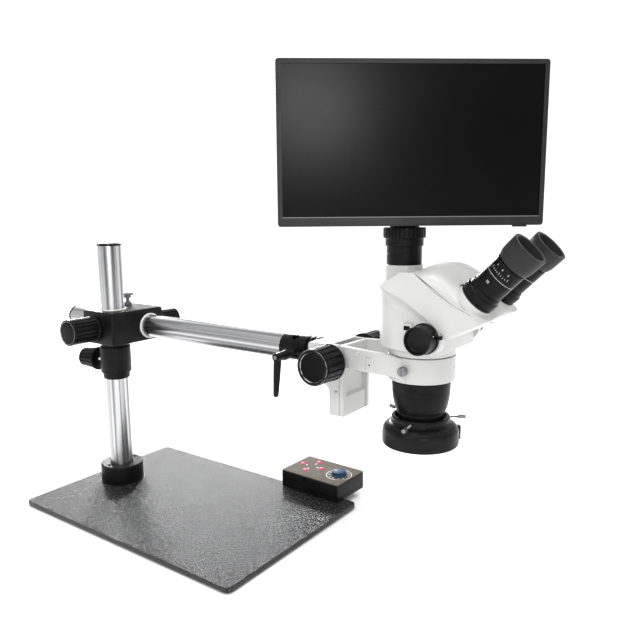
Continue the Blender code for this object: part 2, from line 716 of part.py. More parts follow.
def make_head():
    """Head body with mounting flange, flared sides and photo tube seat, and its top cover."""
    upper_edge = [(-0.4475, 0.3250), (-0.4530, 0.3285), (-0.4730, 0.3405)]
    lower_edge = [(-0.5240, 0.2792), (-0.5120, 0.2888), (-0.4990, 0.2984), (-0.4865, 0.3070),
                  (-0.4740, 0.3145), (-0.4600, 0.3200)]
    outer = upper_edge + seam_line() + lower_edge
    drop = [0.0] * (len(upper_edge) + len(seam_line())) + [0.002, 0.010] + [FLARE_DROP] * 4
    sections = []
    for half, share in ((-HEAD_HALF_W, 0.0), (-BODY_HALF_W, 1.0), (BODY_HALF_W, 1.0), (HEAD_HALF_W, 0.0)):
        sections.append([(ARM_X + half, y, z - share * d) for (y, z), d in zip(outer, drop)])
    body = loft("head_body", sections, "white_paint")
    plan_cutter = nose_plan()
    boolean(body, plan_cutter, "INTERSECT")
    round_edges(body, 0.0015, 2, 40)

    side = BODY_HALF_W
    plan = [(ARM_X - side + 0.006, BODY_FRONT), (ARM_X + side - 0.006, BODY_FRONT),
            (ARM_X + side, BODY_FRONT + 0.006)]
    plan += arc((ARM_X, HEAD_Y), side, 0, 180, 20)
    plan += [(ARM_X - side, BODY_FRONT + 0.006)]
    drum = extruded("head_drum", plan, BODY_Z0, 0.3250, "Z", None, CUTTERS)
    hide(drum)
    slope = extruded("drum_slope", [(BODY_FRONT - 0.02, 0.30), (-0.4900, 0.3250), (-0.4900, 0.36),
                                    (BODY_FRONT - 0.02, 0.36)], -0.05, 0.13, "X", None, CUTTERS)
    boolean(drum, hide(slope))
    absorb(body, drum)

    neck = turned("head_neck", [
        (0.0, BODY_Z0 + 0.004), (HEAD_FLANGE_R, BODY_Z0 + 0.004), (HEAD_FLANGE_R, HEAD_FLANGE_Z),
        (RING_BORE_R - GAP, HEAD_FLANGE_Z), (RING_BORE_R - GAP, RING_Z0 + 0.0006),
        (0.0, RING_Z0 + 0.0006),
    ], None, FINE, Matrix.Translation((ARM_X, HEAD_Y, 0.0)), CUTTERS)
    absorb(body, neck)

    for side_name, sign in (("left", 1.0), ("right", -1.0)):
        near = ARM_X + sign * (BODY_HALF_W - 0.002)
        far = ARM_X + sign * (HEAD_HALF_W - 0.0012)
        boss = cylinder_cutter(f"zoom_boss_{side_name}", 0.0165, (near, ZOOM_Y, ZOOM_Z), (far, ZOOM_Y, ZOOM_Z), MEDIUM)
        boolean(body, boss, "UNION")
    boolean(body, cylinder_cutter("zoom_bore", 0.0034, (ARM_X - 0.08, ZOOM_Y, ZOOM_Z),
                                  (ARM_X + 0.08, ZOOM_Y, ZOOM_Z)))
    boolean(body, cylinder_cutter("photo_seat", PHOTO_R + GAP, (ARM_X, PHOTO_Y, PHOTO_Z0 - GAP),
                                  (ARM_X, PHOTO_Y, 0.40), FINE))
    bake(body)
    make_cover(plan_cutter)


def make_cover(plan_cutter):
    """Top cover above the seam, with the flat seat that carries both eyepiece tubes."""
    seat = EYE_SEAT.z - EYE_SEAT.y
    seam = [(y - 0.0002, z + GAP) for y, z in seam_line()]
    seam[-1] = (-0.5598, 0.2980)
    outline = seam[::-1] + [(-0.4900, 0.3440), (-0.4960, 0.3465), (-0.5060, 0.3470), (-0.5155, seat - 0.5155)]
    outline += [(-0.5615, seat - 0.5615)]
    cover = extruded("head_cover", outline, ARM_X - HEAD_HALF_W + 0.0004, ARM_X + HEAD_HALF_W - 0.0004,
                     "X", "white_paint")
    boolean(cover, plan_cutter, "INTERSECT")
    round_edges(cover, 0.0050, 4, 20)
    for side, sign in (("left", 1.0), ("right", -1.0)):
        socket = eye_matrix(sign)
        cut = cylinder_cutter(f"eye_socket_{side}", 0.0085, socket @ Vector((0, EYE_PIVOT, -0.006)),
                              socket @ Vector((0, EYE_PIVOT, 0.01)))
        boolean(cover, cut)
    bake(cover)


def eye_matrix(sign):
    """Return the frame of one eyepiece tube: Z out along it, Y up the slope."""
    turn = Matrix.Rotation(math.radians(45), 4, "X")
    return Matrix.Translation((ARM_X + sign * EYE_HALF_GAP, EYE_SEAT.y, EYE_SEAT.z)) @ turn


def make_eyepieces():
    """Tube bases on their pivots, eyepiece barrels, rubber cups and eye lenses."""
    for side, sign in (("left", 1.0), ("right", -1.0)):
        frame = eye_matrix(sign)
        tube = turned(f"eye_tube_{side}", [
            (0.0100, 0.0150), (0.0180, 0.0150), (EYE_BASE_R, 0.0142), (EYE_BASE_R, 0.0040),
            (EYE_BASE_R - 0.0008, 0.0032), (EYE_BASE_R - 0.0008, GAP), (0.0100, GAP),
        ], "black_anodised", MEDIUM, frame)
        pivot = cylinder_cutter(f"eye_pivot_{side}", 0.0080, frame @ Vector((0, EYE_PIVOT, -0.0055)),
                                frame @ Vector((0, EYE_PIVOT, 0.0020)))
        boolean(tube, pivot, "UNION")
        bake(tube)
        turned(f"eyepiece_{side}", [
            (0.0125, 0.0600), (0.0148, 0.0600), (0.0148, 0.0470), (EYE_BARREL_R, 0.0465),
            (EYE_BARREL_R, 0.0153), (0.0125, 0.0153),
        ], "black_anodised", MEDIUM, frame)
        turned(f"eyecup_{side}", [
            (0.0152, EYE_LENGTH), (CUP_R - 0.0006, EYE_LENGTH), (CUP_R, EYE_LENGTH - 0.0010),
            (CUP_R - 0.0003, 0.0540), (0.0170, 0.0490), (0.0151, 0.0490), (0.0151, 0.0603),
            (0.0135, 0.0603), (0.0135, 0.0618),
        ], "rubber", MEDIUM, frame)
        turned(f"eye_lens_{side}", [
            (0.0, 0.0592), (0.0060, 0.0588), (0.0122, 0.0575), (0.0122, 0.0545), (0.0, 0.0545),
        ], "glass", MEDIUM, frame)


def make_zoom():
    """Zoom shaft with a knob on each side of the head."""
    reach = HEAD_HALF_W + 0.0130
    cross = facing((ARM_X, ZOOM_Y, ZOOM_Z), (1.0, 0.0, 0.0))
    turned("zoom_shaft", [
        (0.0, reach), (0.0030, reach), (0.0030, -reach), (0.0, -reach),
    ], "bright_screw", SMALL, cross)
    start = HEAD_HALF_W - 0.0009
    for side, sign in (("left", 1.0), ("right", -1.0)):
        place = facing((ARM_X + sign * start, ZOOM_Y, ZOOM_Z), (sign, 0.0, 0.0))
        turned(f"zoom_knob_{side}", [
            (0.0, 0.0158), (0.0118, 0.0158), (0.0125, 0.0178), (0.0137, 0.0180), (0.0143, 0.0172),
            (0.0145, 0.0030), (0.0156, 0.0026), (0.0156, 0.0), (0.0033, 0.0), (0.0033, 0.0145),
            (0.0, 0.0145),
        ], "black_plastic", MEDIUM, place)


def make_objective():
    """Objective housing under the ring, with its front lens."""
    axis = Matrix.Translation((ARM_X, HEAD_Y, 0.0))
    turned("objective_housing", [
        (0.0, RING_Z0 + GAP), (0.0320, RING_Z0 + GAP), (0.0320, RING_Z0 - 0.0016), (0.0314, 0.2140),
        (0.0306, 0.2030), (0.0290, 0.1940), (0.0262, 0.1870), (0.0246, 0.1850), (0.0246, 0.1655),
        (0.0238, 0.1650), (0.0238, HOUSING_BOTTOM + 0.0008), (0.0230, HOUSING_BOTTOM),
        (LENS_R + 0.0010, HOUSING_BOTTOM), (LENS_R + GAP, HOUSING_BOTTOM + 0.0015),
        (LENS_R + GAP, 0.1700), (0.0, 0.1700),
    ], "black_anodised", MEDIUM, axis)
    turned("objective_lens", [
        (0.0, 0.1697), (LENS_R, 0.1697), (LENS_R, 0.1650), (0.0130, 0.1638), (0.0, 0.1632),
    ], "glass", MEDIUM, axis)


# ---------------------------------------------------------------- camera and monitor


def make_camera():
    """White photo tube and the black camera adapter with its knurled ring."""
    axis = Matrix.Translation((ARM_X, PHOTO_Y, 0.0))
    turned("photo_tube", [
        (0.0152, PHOTO_Z1), (PHOTO_R - 0.0010, PHOTO_Z1), (PHOTO_R, PHOTO_Z1 - 0.0010), (PHOTO_R, PHOTO_Z0),
        (0.0152, PHOTO_Z0),
    ], "white_paint", MEDIUM, axis)
    turned("camera_adapter", [
        (0.0120, 0.3880), (0.0155, 0.3880), (0.0155, ADAPTER_TOP), (0.0221, ADAPTER_TOP),
        (0.0225, ADAPTER_TOP - 0.0006), (0.0225, 0.3722), (0.0215, 0.3711), (0.0202, 0.3711),
        (0.0202, 0.3638), (0.0194, 0.3631), (0.0187, 0.3631), (0.0187, PHOTO_Z1 + GAP),
        (0.0149, PHOTO_Z1 + GAP), (0.0149, 0.3260), (0.0120, 0.3260),
    ], "black_anodised", MEDIUM, axis)


def monitor_frame():
    """Return the monitor's frame: X to the user's right of the screen, -Y out of the screen."""
    return Matrix.Translation((ARM_X, PHOTO_Y, 0.0)) @ Matrix.Rotation(MONITOR_TURN, 4, "Z")


def make_monitor():
    """Monitor housing with the camera module behind it, front frame, panel and button."""
    frame = monitor_frame()
    half = MONITOR_W / 2
    top = MONITOR_Z0 + MONITOR_H
    split = -MONITOR_FRONT + BEZEL_T
    back = box("monitor_back", (-half, split + GAP, MONITOR_Z0), (half, -MONITOR_FRONT + MONITOR_T, top),
               "bezel", 0.0020, 2, frame)
    module = hide(add_object("camera_module", box_mesh((0.058, 0.048, 0.056), (0.0, 0.0, 0.4146)), None, frame, CUTTERS))
    round_edges(module, 0.004, 2)
    boolean(back, module, "UNION")
    boolean(back, cylinder_cutter("c_mount", 0.0158, (ARM_X, PHOTO_Y, 0.38), (ARM_X, PHOTO_Y, 0.3890), MEDIUM))
    bake(back)

    side = (MONITOR_W - SCREEN_W) / 2
    screen_top = top - 0.0048
    screen_low = screen_top - SCREEN_H
    bezel = box("monitor_bezel", (-half, -MONITOR_FRONT, MONITOR_Z0), (half, split, top), "bezel", 0.0012, 2, frame)
    window = hide(add_object("window", box_mesh((SCREEN_W, 0.02, SCREEN_H),
                                                (0.0, -MONITOR_FRONT, (screen_top + screen_low) / 2)),
                             None, frame, CUTTERS))
    pocket = hide(add_object("pocket", box_mesh((SCREEN_W + 0.004, 0.0036, SCREEN_H + 0.004),
                                                (0.0, split - 0.0017, (screen_top + screen_low) / 2)),
                             None, frame, CUTTERS))
    notch = hide(add_object("button_notch", box_mesh((0.0156, 0.0036, 0.004), (0.110, split - 0.0017, MONITOR_Z0)),
                            None, frame, CUTTERS))
    boolean(bezel, window)
    boolean(bezel, pocket)
    boolean(bezel, notch)
    bake(bezel)
    box("lcd_panel", (-half + side - 0.0017, split - 0.0032, screen_low - 0.0017),
        (half - side + 0.0017, split - GAP, screen_top + 0.0017), "screen", matrix=frame)
    box("monitor_button", (0.1025, split - 0.0032, MONITOR_Z0 - 0.0016), (0.1175, split - GAP, MONITOR_Z0 + 0.0008),
        "bezel", 0.0005, 1, matrix=frame)


# ---------------------------------------------------------------- ring light


def make_ring_light():
    """Ring light housing, diffuser and the three screws that clamp it to the objective."""
    axis = Matrix.Translation((ARM_X, HEAD_Y, 0.0))
    shoulder = 0.0080
    housing = turned("ring_light_housing", [
        (LIGHT_BORE_R, LIGHT_TOP), (0.0300, LIGHT_TOP), (0.0312, LIGHT_TOP - 0.0010), (0.0312, 0.1745),
        (LIGHT_R - shoulder, 0.1730), *arc((LIGHT_R - shoulder, 0.1650), shoulder, 67.5, 0, 3),
        (LIGHT_R, LIGHT_Z0 + 0.0010), (LIGHT_R - 0.0010, LIGHT_Z0), (0.0402, LIGHT_Z0),
        (0.0402, LIGHT_Z0 + 0.0040), (0.0295, LIGHT_Z0 + 0.0040), (0.0295, LIGHT_Z0),
        (LIGHT_BORE_R, LIGHT_Z0),
    ], "black_plastic", MEDIUM, axis)
    turned("ring_light_diffuser", [
        (0.0298, LIGHT_Z0 + 0.0037), (0.0399, LIGHT_Z0 + 0.0037), (0.0399, LIGHT_Z0 + 0.0010),
        (0.0298, LIGHT_Z0 + 0.0010),
    ], "frosted", MEDIUM, axis)
    centre = Vector((ARM_X, HEAD_Y, LIGHT_SCREW_Z))
    for i, (degrees, tip) in enumerate(((-52.5, 0.0495), (-172.5, 0.0530), (67.5, 0.0530)), start=1):
        out = Vector((math.cos(math.radians(degrees)), math.sin(math.radians(degrees)), 0.0))
        boolean(housing, cylinder_cutter(f"light_screw_hole_{i}", 0.0013, centre + out * 0.024,
                                         centre + out * 0.034, 12))
        point = tip - 0.0249
        turned(f"ring_light_screw_{i}", [
            (0.0, 0.0), (0.0018, 0.0), (0.0021, -0.0004), (0.0021, -0.0085), (0.0018, -0.0090),
            (0.0010, -0.0092), (0.0010, -point), (0.0, -point),
        ], "bright_screw", 12, facing(centre + out * tip, out))
    bake(housing)


# ---------------------------------------------------------------- control box


def control_frame():
    return Matrix.Translation(CONTROL_CORNER) @ Matrix.Rotation(CONTROL_TURN, 4, "Z")


def make_control_box():
    """Control box of the ring light: case, panel, socket, four zone buttons and the dimmer dial."""
    frame = control_frame()
    top = CONTROL_H - PANEL_T - GAP
    case = box("control_box", (0.0, 0.0, 0.0), (CONTROL_W, CONTROL_L, top), "black_plastic", 0.0010, 2, frame)
    panel = box("control_panel", (0.0002, 0.0002, top + GAP), (CONTROL_W - 0.0002, CONTROL_L - 0.0002, CONTROL_H),
                "taupe_panel", 0.0005, 1, frame)
    cx, cy = BUTTON_CENTRE
    spots = ((cx, cy + BUTTON_RING), (cx + BUTTON_RING, cy), (cx - BUTTON_RING, cy), (cx, cy - BUTTON_RING))
    for i, (x, y) in enumerate(spots, start=1):
        well = cylinder_cutter(f"button_well_{i}", BUTTON_R + GAP, frame @ Vector((x, y, top - 0.006)),
                               frame @ Vector((x, y, top + 0.02)))
        boolean(case, well)
        boolean(panel, well)
        turned(f"control_button_{i}", [
            (0.0, 0.0022), (0.0018, 0.0020), (0.0032, 0.0013), (BUTTON_R, 0.0005), (BUTTON_R, -0.0050),
            (0.0, -0.0050),
        ], "pink_button", SMALL, frame @ Matrix.Translation((x, y, CONTROL_H)))
    x, y = DIAL_CENTRE
    shaft_hole = cylinder_cutter("dial_hole", 0.0034, frame @ Vector((x, y, top - 0.010)),
                                 frame @ Vector((x, y, top + 0.02)))
    boolean(case, shaft_hole)
    boolean(panel, shaft_hole)
    dial = fluted_knob("brightness_dial", [
        (GAP, DIAL_R, 0.0), (0.0012, DIAL_R, 0.0), (0.0016, DIAL_R - 0.0006, 0.0006),
        (0.0080, DIAL_R - 0.0014, 0.0006),
    ], 8, frame @ Matrix.Translation((x, y, CONTROL_H)), "blue_knob")
    absorb(dial, turned("dial_shaft", [(0.0, 0.002), (0.0030, 0.002), (0.0030, -0.010), (0.0, -0.010)],
                        None, SMALL, frame @ Matrix.Translation((x, y, CONTROL_H)), CUTTERS))
    bake(dial)
    recess = cylinder_cutter("socket_recess", 0.0033, frame @ Vector((CONTROL_W - 0.006, SOCKET_Y, SOCKET_Z)),
                             frame @ Vector((CONTROL_W + 0.01, SOCKET_Y, SOCKET_Z)))
    boolean(case, recess)
    bake(case)
    bake(panel)
    turned("control_socket", [
        (0.0012, 0.0045), (0.0026, 0.0045), (0.0030, 0.0040), (0.0030, -0.0055), (0.0012, -0.0055),
    ], "black_plastic", SMALL, facing(frame @ Vector((CONTROL_W, SOCKET_Y, SOCKET_Z)),
                                      frame.to_3x3() @ Vector((1.0, 0.0, 0.0))))


def hang(name, origin, *nodes):
    """Put an empty on a joint's axis, and parent pieces to it where they stand."""
    empty = bpy.data.objects.new(name, None)
    empty.empty_display_size = 0.01
    empty.location = origin
    PARTS.objects.link(empty)
    for node in nodes:
        obj = bpy.data.objects[node]
        obj.parent = empty
        obj.matrix_parent_inverse = Matrix.Translation(-Vector(origin))
    return empty


def make_pivots():
    """Give the pieces of each moving group an empty on the group's own axis."""
    hang("block_pivot", (0.0, 0.0, ARM_Z), "boom_block", "pillar_bush", "arm_bush")
    hang("tilt_pivot", (ARM_X, FITTING_END, ARM_Z), "tilt_pin", "focus_body")
    hang("head_pivot", (ARM_X, HEAD_Y, RING_Z1), "head_body", "head_cover", "objective_housing",
         "objective_lens", "photo_tube")
    hang("monitor_pivot", (ARM_X, PHOTO_Y, ADAPTER_TOP), "camera_adapter", "monitor_back", "monitor_bezel",
         "lcd_panel", "monitor_button")
    for side, sign in (("left", 1.0), ("right", -1.0)):
        pivot = eye_matrix(sign) @ Vector((0.0, EYE_PIVOT, 0.0))
        hang(f"pupil_pivot_{side}", pivot, f"eye_tube_{side}", f"eyepiece_{side}")


def main():
    clear_scene()
    make_base()
    make_pillar()
    make_stop_collar()
    make_block()
    make_arm()
    make_focus_unit()
    make_head()
    make_eyepieces()
    make_zoom()
    make_objective()
    make_camera()
    make_monitor()
    make_ring_light()
    make_control_box()
    make_pivots()


main()
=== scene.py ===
"""Looks of the trinocular stereo microscope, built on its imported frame.

Lengths are in metres, except inside profiles and outlines, which are in
millimetres and are scaled by MM. Every place comes from the frame's boxes
and joints.
"""

from math import atan2, copysign, cos, pi, radians, sin, sqrt

import bmesh
import bpy
from mathutils import Matrix, Vector
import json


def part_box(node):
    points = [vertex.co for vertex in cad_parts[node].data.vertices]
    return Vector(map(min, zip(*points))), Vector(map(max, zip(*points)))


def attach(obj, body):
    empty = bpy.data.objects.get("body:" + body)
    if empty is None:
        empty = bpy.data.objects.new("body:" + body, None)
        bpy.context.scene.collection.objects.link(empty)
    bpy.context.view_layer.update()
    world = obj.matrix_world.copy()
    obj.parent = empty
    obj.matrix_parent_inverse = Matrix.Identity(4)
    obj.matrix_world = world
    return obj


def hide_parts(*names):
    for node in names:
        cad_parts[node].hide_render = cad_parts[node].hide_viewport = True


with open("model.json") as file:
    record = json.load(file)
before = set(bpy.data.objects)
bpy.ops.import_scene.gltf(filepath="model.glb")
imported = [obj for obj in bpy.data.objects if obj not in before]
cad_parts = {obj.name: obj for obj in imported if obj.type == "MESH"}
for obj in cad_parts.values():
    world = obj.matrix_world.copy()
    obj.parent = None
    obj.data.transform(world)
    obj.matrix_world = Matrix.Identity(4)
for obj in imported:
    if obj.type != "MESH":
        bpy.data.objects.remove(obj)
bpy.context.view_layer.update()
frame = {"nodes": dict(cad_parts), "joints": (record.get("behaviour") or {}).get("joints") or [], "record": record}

MM = 0.001
FINE = 112                        # steps round a large turned piece
SMALL = 48                        # steps round a small one
TUBE_R = 16.0                     # radius of the pillar and arm, in profile units
TUBE_BORE = 13.0                  # and of their inside
SLIDE_R = 16.3                    # and of the holes that they run in
STUD_HOLE = 0.0043                # radius of a clamp knob's hole, in metres, as all below
SHAFT_HOLE = 0.0036               # radius of the holes for the two shafts
DRUM = 0.045                      # half the width of the head's drum
RING_Z = 0.2234                   # underside of the clamp ring
NOSE_R = 0.020                    # corner of the head's nose in plan
HEAD_SPAN = (0.25, 0.36)          # heights that clear the head's wedge
EYE_BACK = 0.012                  # from an eye tube's pivot back to its seat
SLOPE = Vector((0.0, sqrt(0.5), sqrt(0.5)))
QUARTER_TURN = radians(90)
SIDES = (("left", 1.0), ("right", -1.0))
JOINTS = {joint["name"]: joint for joint in frame["joints"]}
SLOTS = {part["node"]: part["material_slot"] for part in frame["record"]["subparts"]}
BODIES = {node: body for body, nodes in frame["record"]["behaviour"]["bodies"].items() for node in nodes}


def pivot(joint):
    return Vector(JOINTS[joint]["pos_m"])


def axis(joint):
    return Vector(JOINTS[joint]["axis"])


def centre(node):
    low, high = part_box(node)
    return (low + high) / 2


# ---------------------------------------------------------------- materials


def new_shader(name, colour, roughness, metallic=0.0, specular=0.5, coat=0.0, coat_roughness=0.1):
    """Return a material's node tree and its Principled shader."""
    material = bpy.data.materials.new(name)
    material.use_nodes = True
    tree = material.node_tree
    surface = tree.nodes["Principled BSDF"]
    surface.inputs["Base Color"].default_value = (*colour, 1.0)
    surface.inputs["Roughness"].default_value = roughness
    surface.inputs["Metallic"].default_value = metallic
    surface.inputs["Specular IOR Level"].default_value = specular
    surface.inputs["Coat Weight"].default_value = coat
    surface.inputs["Coat Roughness"].default_value = coat_roughness
    return material, tree, surface


def noise(tree, scale, detail=3.0, stretch=(1.0, 1.0, 1.0)):
    """Return a noise value in object coordinates, stretched along an axis."""
    place = tree.nodes.new("ShaderNodeTexCoord")
    mapping = tree.nodes.new("ShaderNodeMapping")
    mapping.inputs["Scale"].default_value = stretch
    texture = tree.nodes.new("ShaderNodeTexNoise")
    texture.inputs["Scale"].default_value = scale
    texture.inputs["Detail"].default_value = detail
    tree.links.new(place.outputs["Object"], mapping.inputs["Vector"])
    tree.links.new(mapping.outputs["Vector"], texture.inputs["Vector"])
    return texture.outputs["Fac"]


def cells(tree, scale):
    """Return the distance value of a cell pattern in object coordinates."""
    place = tree.nodes.new("ShaderNodeTexCoord")
    texture = tree.nodes.new("ShaderNodeTexVoronoi")
    texture.inputs["Scale"].default_value = scale
    tree.links.new(place.outputs["Object"], texture.inputs["Vector"])
    return texture.outputs["Distance"]


def spread(tree, value, low, high, start=0.3, end=0.7):
    """Map a value from start..end to low..high."""
    remap = tree.nodes.new("ShaderNodeMapRange")
    remap.inputs["From Min"].default_value = start
    remap.inputs["From Max"].default_value = end
    remap.inputs["To Min"].default_value = low
    remap.inputs["To Max"].default_value = high
    tree.links.new(value, remap.inputs["Value"])
    return remap.outputs["Result"]


def two_tones(tree, surface, value, dark, light, start=0.3, end=0.7):
    """Colour the surface between two tones by a value."""
    ramp = tree.nodes.new("ShaderNodeValToRGB")
    ramp.color_ramp.elements[0].position = start
    ramp.color_ramp.elements[0].color = (*dark, 1.0)
    ramp.color_ramp.elements[1].position = end
    ramp.color_ramp.elements[1].color = (*light, 1.0)
    tree.links.new(value, ramp.inputs["Fac"])
    tree.links.new(ramp.outputs["Color"], surface.inputs["Base Color"])


def roughen(tree, surface, value, low, high):
    tree.links.new(spread(tree, value, low, high), surface.inputs["Roughness"])


def emboss(tree, surface, value, distance, strength=1.0):
    """Add a fine relief of the given height."""
    bump = tree.nodes.new("ShaderNodeBump")
    bump.inputs["Strength"].default_value = strength
    bump.inputs["Distance"].default_value = distance
    tree.links.new(value, bump.inputs["Height"])
    tree.links.new(bump.outputs["Normal"], surface.inputs["Normal"])


def textured(name, colour, roughness, tones=None, rough=None, relief=None, extra=(), **shine):
    """Return a material. tones, rough and relief each start with the noise that they follow."""
    material, tree, surface = new_shader(name, colour, roughness, **shine)
    for apply, what in ((two_tones, tones), (roughen, rough), (emboss, relief)):
        if what:
            apply(tree, surface, noise(tree, *what[0]), *what[1:])
    for socket, value in extra:
        surface.inputs[socket].default_value = value
    return material


def brushed_steel():
    """Ground tube: streaks along its own length."""
    streaks = (1.0, 4.0, (900.0, 900.0, 3.0))
    broad = (1.0, 2.0, (240.0, 240.0, 1.0))
    return textured("brushed_steel", (0.5, 0.5, 0.51), 0.26,
                    (broad, (0.22, 0.22, 0.225), (0.64, 0.64, 0.65), 0.38, 0.60), (streaks, 0.20, 0.38),
                    (streaks, 0.00006, 0.6), [("Anisotropic", 0.4)], metallic=1.0)


def plated_steel():
    """Plated screws and pins."""
    grain = (900.0, 3.0)
    return textured("plated_steel", (0.72, 0.72, 0.73), 0.24,
                    (grain, (0.62, 0.62, 0.63), (0.80, 0.80, 0.80)), (grain, 0.18, 0.32), metallic=1.0)


def dull_plate():
    """Worn nickel plating of the small screws."""
    grain = (700.0, 3.0)
    return textured("dull_plate", (0.24, 0.24, 0.25), 0.40, (grain, (0.17, 0.17, 0.18), (0.30, 0.30, 0.31)),
                    (grain, 0.36, 0.50), metallic=0.85)


def textured_paint():
    """Black powder coat of the cast pieces: a fine pebble."""
    grain = (1400.0, 4.0)
    return textured("textured_paint", (0.005, 0.005, 0.0055), 0.36,
                    ((60.0, 2.0), (0.004, 0.004, 0.0045), (0.009, 0.009, 0.0095)), (grain, 0.30, 0.46),
                    (grain, 0.00018, 0.7), specular=0.12)


def plate_paint():
    """Black base plate: an orange-peel coat with fine grain. The bright specks in its colour are partly that grain
    and partly painted sparkle, standing in for glints off the coat.
    """
    grain_and_sparkle = (520.0, 5.0)
    return textured("plate_paint", (0.004, 0.004, 0.0045), 0.24,
                    (grain_and_sparkle, (0.002, 0.002, 0.0025), (0.050, 0.050, 0.052), 0.47, 0.66),
                    (grain_and_sparkle, 0.18, 0.28), ((800.0, 3.0), 0.0010), specular=0.32)


def moulded_black():
    """Black moulded plastic of knobs, caps and the ring light."""
    handling = (45.0, 3.0)
    return textured("moulded_black", (0.005, 0.005, 0.0055), 0.26,
                    (handling, (0.004, 0.004, 0.0045), (0.009, 0.009, 0.0095)), (handling, 0.24, 0.36),
                    ((1800.0, 2.0), 0.00007, 0.6), specular=0.12)


def glossy_black():
    """Polished inserts at the ends of the knobs."""
    return textured("glossy_black", (0.002, 0.002, 0.0022), 0.10,
                    rough=((70.0, 3.0), 0.08, 0.14), specular=0.07)


def anodised_black():
    """Black anodised aluminium, with the turning marks round its axis."""
    marks = (1.0, 2.0, (25.0, 25.0, 2600.0))
    return textured("anodised_black", (0.004, 0.004, 0.0045), 0.24,
                    ((90.0, 2.0), (0.003, 0.003, 0.0035), (0.007, 0.007, 0.0075)), (marks, 0.26, 0.38),
                    (marks, 0.00003, 0.5), specular=0.11)


def white_enamel():
    """Off-white baked enamel over the castings."""
    broad = (18.0, 2.0)
    return textured("white_enamel", (0.51, 0.51, 0.505), 0.36,
                    (broad, (0.49, 0.49, 0.485), (0.54, 0.54, 0.535)),
                    (broad, 0.32, 0.42), ((420.0, 2.0), 0.00010, 0.35), coat=0.25, coat_roughness=0.22)


def nylon():
    """White sliding bush."""
    return textured("nylon", (0.82, 0.82, 0.80), 0.45,
                    ((120.0, 3.0), (0.76, 0.76, 0.74), (0.86, 0.86, 0.84)),
                    ((300.0, 2.0), 0.38, 0.52),
                    extra=[("Subsurface Weight", 0.1), ("Subsurface Radius", (0.002, 0.002, 0.002))])


def rubber(name="rubber", tone=0.009):
    """Soft black rubber with a faint bloom."""
    bloom = (55.0, 4.0)
    return textured(name, (tone, tone, tone), 0.60, (bloom, (tone * 0.7,) * 3, (tone * 1.6,) * 3),
                    (bloom, 0.48, 0.68), ((2200.0, 2.0), 0.00006, 0.5),
                    [("Sheen Weight", 0.08), ("Sheen Roughness", 0.4)], specular=0.35)


def coated_glass():
    """Lens glass with a magenta and green coating."""
    material, tree, surface = new_shader("coated_glass", (0.02, 0.02, 0.03), 0.04, specular=0.8, coat=1.0,
                                         coat_roughness=0.02)
    edge = tree.nodes.new("ShaderNodeLayerWeight")
    edge.inputs["Blend"].default_value = 0.4
    two_tones(tree, surface, edge.outputs["Facing"], (0.030, 0.012, 0.055), (0.010, 0.060, 0.045), 0.2, 0.8)
    roughen(tree, surface, noise(tree, 40.0, 2.0), 0.03, 0.07)
    return material


def screen_glass():
    """Switched-off screen with an anti-glare film."""
    smears = (9.0, 2.0)
    return textured("screen_glass", (0.002, 0.002, 0.0022), 0.22,
                    (smears, (0.0015, 0.0015, 0.0018), (0.003, 0.003, 0.0032)), (smears, 0.21, 0.24),
                    ((3000.0, 1.0), 0.00002, 0.3), specular=0.09)


def dark_housing():
    """Dark grey spark-eroded plastic of the monitor."""
    grain = (1500.0, 3.0)
    return textured("dark_housing", (0.014, 0.014, 0.015), 0.40,
                    ((35.0, 2.0), (0.011, 0.011, 0.012), (0.018, 0.018, 0.019)), (grain, 0.36, 0.48),
                    (grain, 0.00008, 0.6), specular=0.3)


def frosted():
    """Diffuser over the light's lamps."""
    material, tree, surface = new_shader("frosted", (0.86, 0.87, 0.86), 0.5)
    two_tones(tree, surface, noise(tree, 200.0, 2.0), (0.80, 0.81, 0.80), (0.90, 0.91, 0.90))
    emboss(tree, surface, cells(tree, 700.0), 0.0001, 0.5)
    surface.inputs["Transmission Weight"].default_value = 0.35
    return material


def taupe_film():
    """Printed film on the control box."""
    return textured("taupe_film", (0.10, 0.088, 0.07), 0.62,
                    ((260.0, 3.0), (0.085, 0.070, 0.056), (0.125, 0.105, 0.086)),
                    relief=((1600.0, 2.0), 0.00007, 0.6), specular=0.08)


def pink_silicone():
    """Pink push buttons."""
    return textured("pink_silicone", (0.85, 0.13, 0.25), 0.40,
                    ((300.0, 2.0), (0.80, 0.11, 0.22), (0.90, 0.17, 0.30)), ((500.0, 2.0), 0.30, 0.42),
                    extra=[("Subsurface Weight", 0.15), ("Subsurface Radius", (0.002, 0.001, 0.001))],
                    specular=0.3)


def blue_plastic():
    """Dark blue dial."""
    return textured("blue_plastic", (0.012, 0.045, 0.11), 0.55,
                    ((700.0, 3.0), (0.008, 0.030, 0.075), (0.018, 0.060, 0.135)),
                    relief=((1500.0, 2.0), 0.00008, 0.6), specular=0.2)


def worn_edge():
    """Painted highlight: a bright metallic tone on the knobs' black rims, standing in for the specular highlight
    along their rounded edges.
    """
    rim_patches = (260.0, 3.0)
    return textured("worn_edge", (0.22, 0.22, 0.23), 0.28,
                    (rim_patches, (0.05, 0.05, 0.055), (0.42, 0.42, 0.43), 0.35, 0.65),
                    (rim_patches, 0.22, 0.36), metallic=1.0)


def print_ink(name="white_ink", tone=0.75):
    """Screen-printed marks."""
    return textured(name, (tone, tone, tone), 0.5, ((1500.0, 2.0), (tone * 0.85,) * 3, (tone * 1.05,) * 3))


def lamp_bead():
    """Unlit lamp beads behind the diffuser."""
    return textured("lamp_bead", (0.75, 0.62, 0.18), 0.35,
                    ((900.0, 2.0), (0.70, 0.55, 0.14), (0.80, 0.68, 0.24)))


def studio_floor():
    """Pale matt floor."""
    return textured("studio_floor", (0.93, 0.93, 0.93), 0.8,
                    ((6.0, 2.0), (0.92, 0.92, 0.92), (0.95, 0.95, 0.95)),
                    specular=0.1)


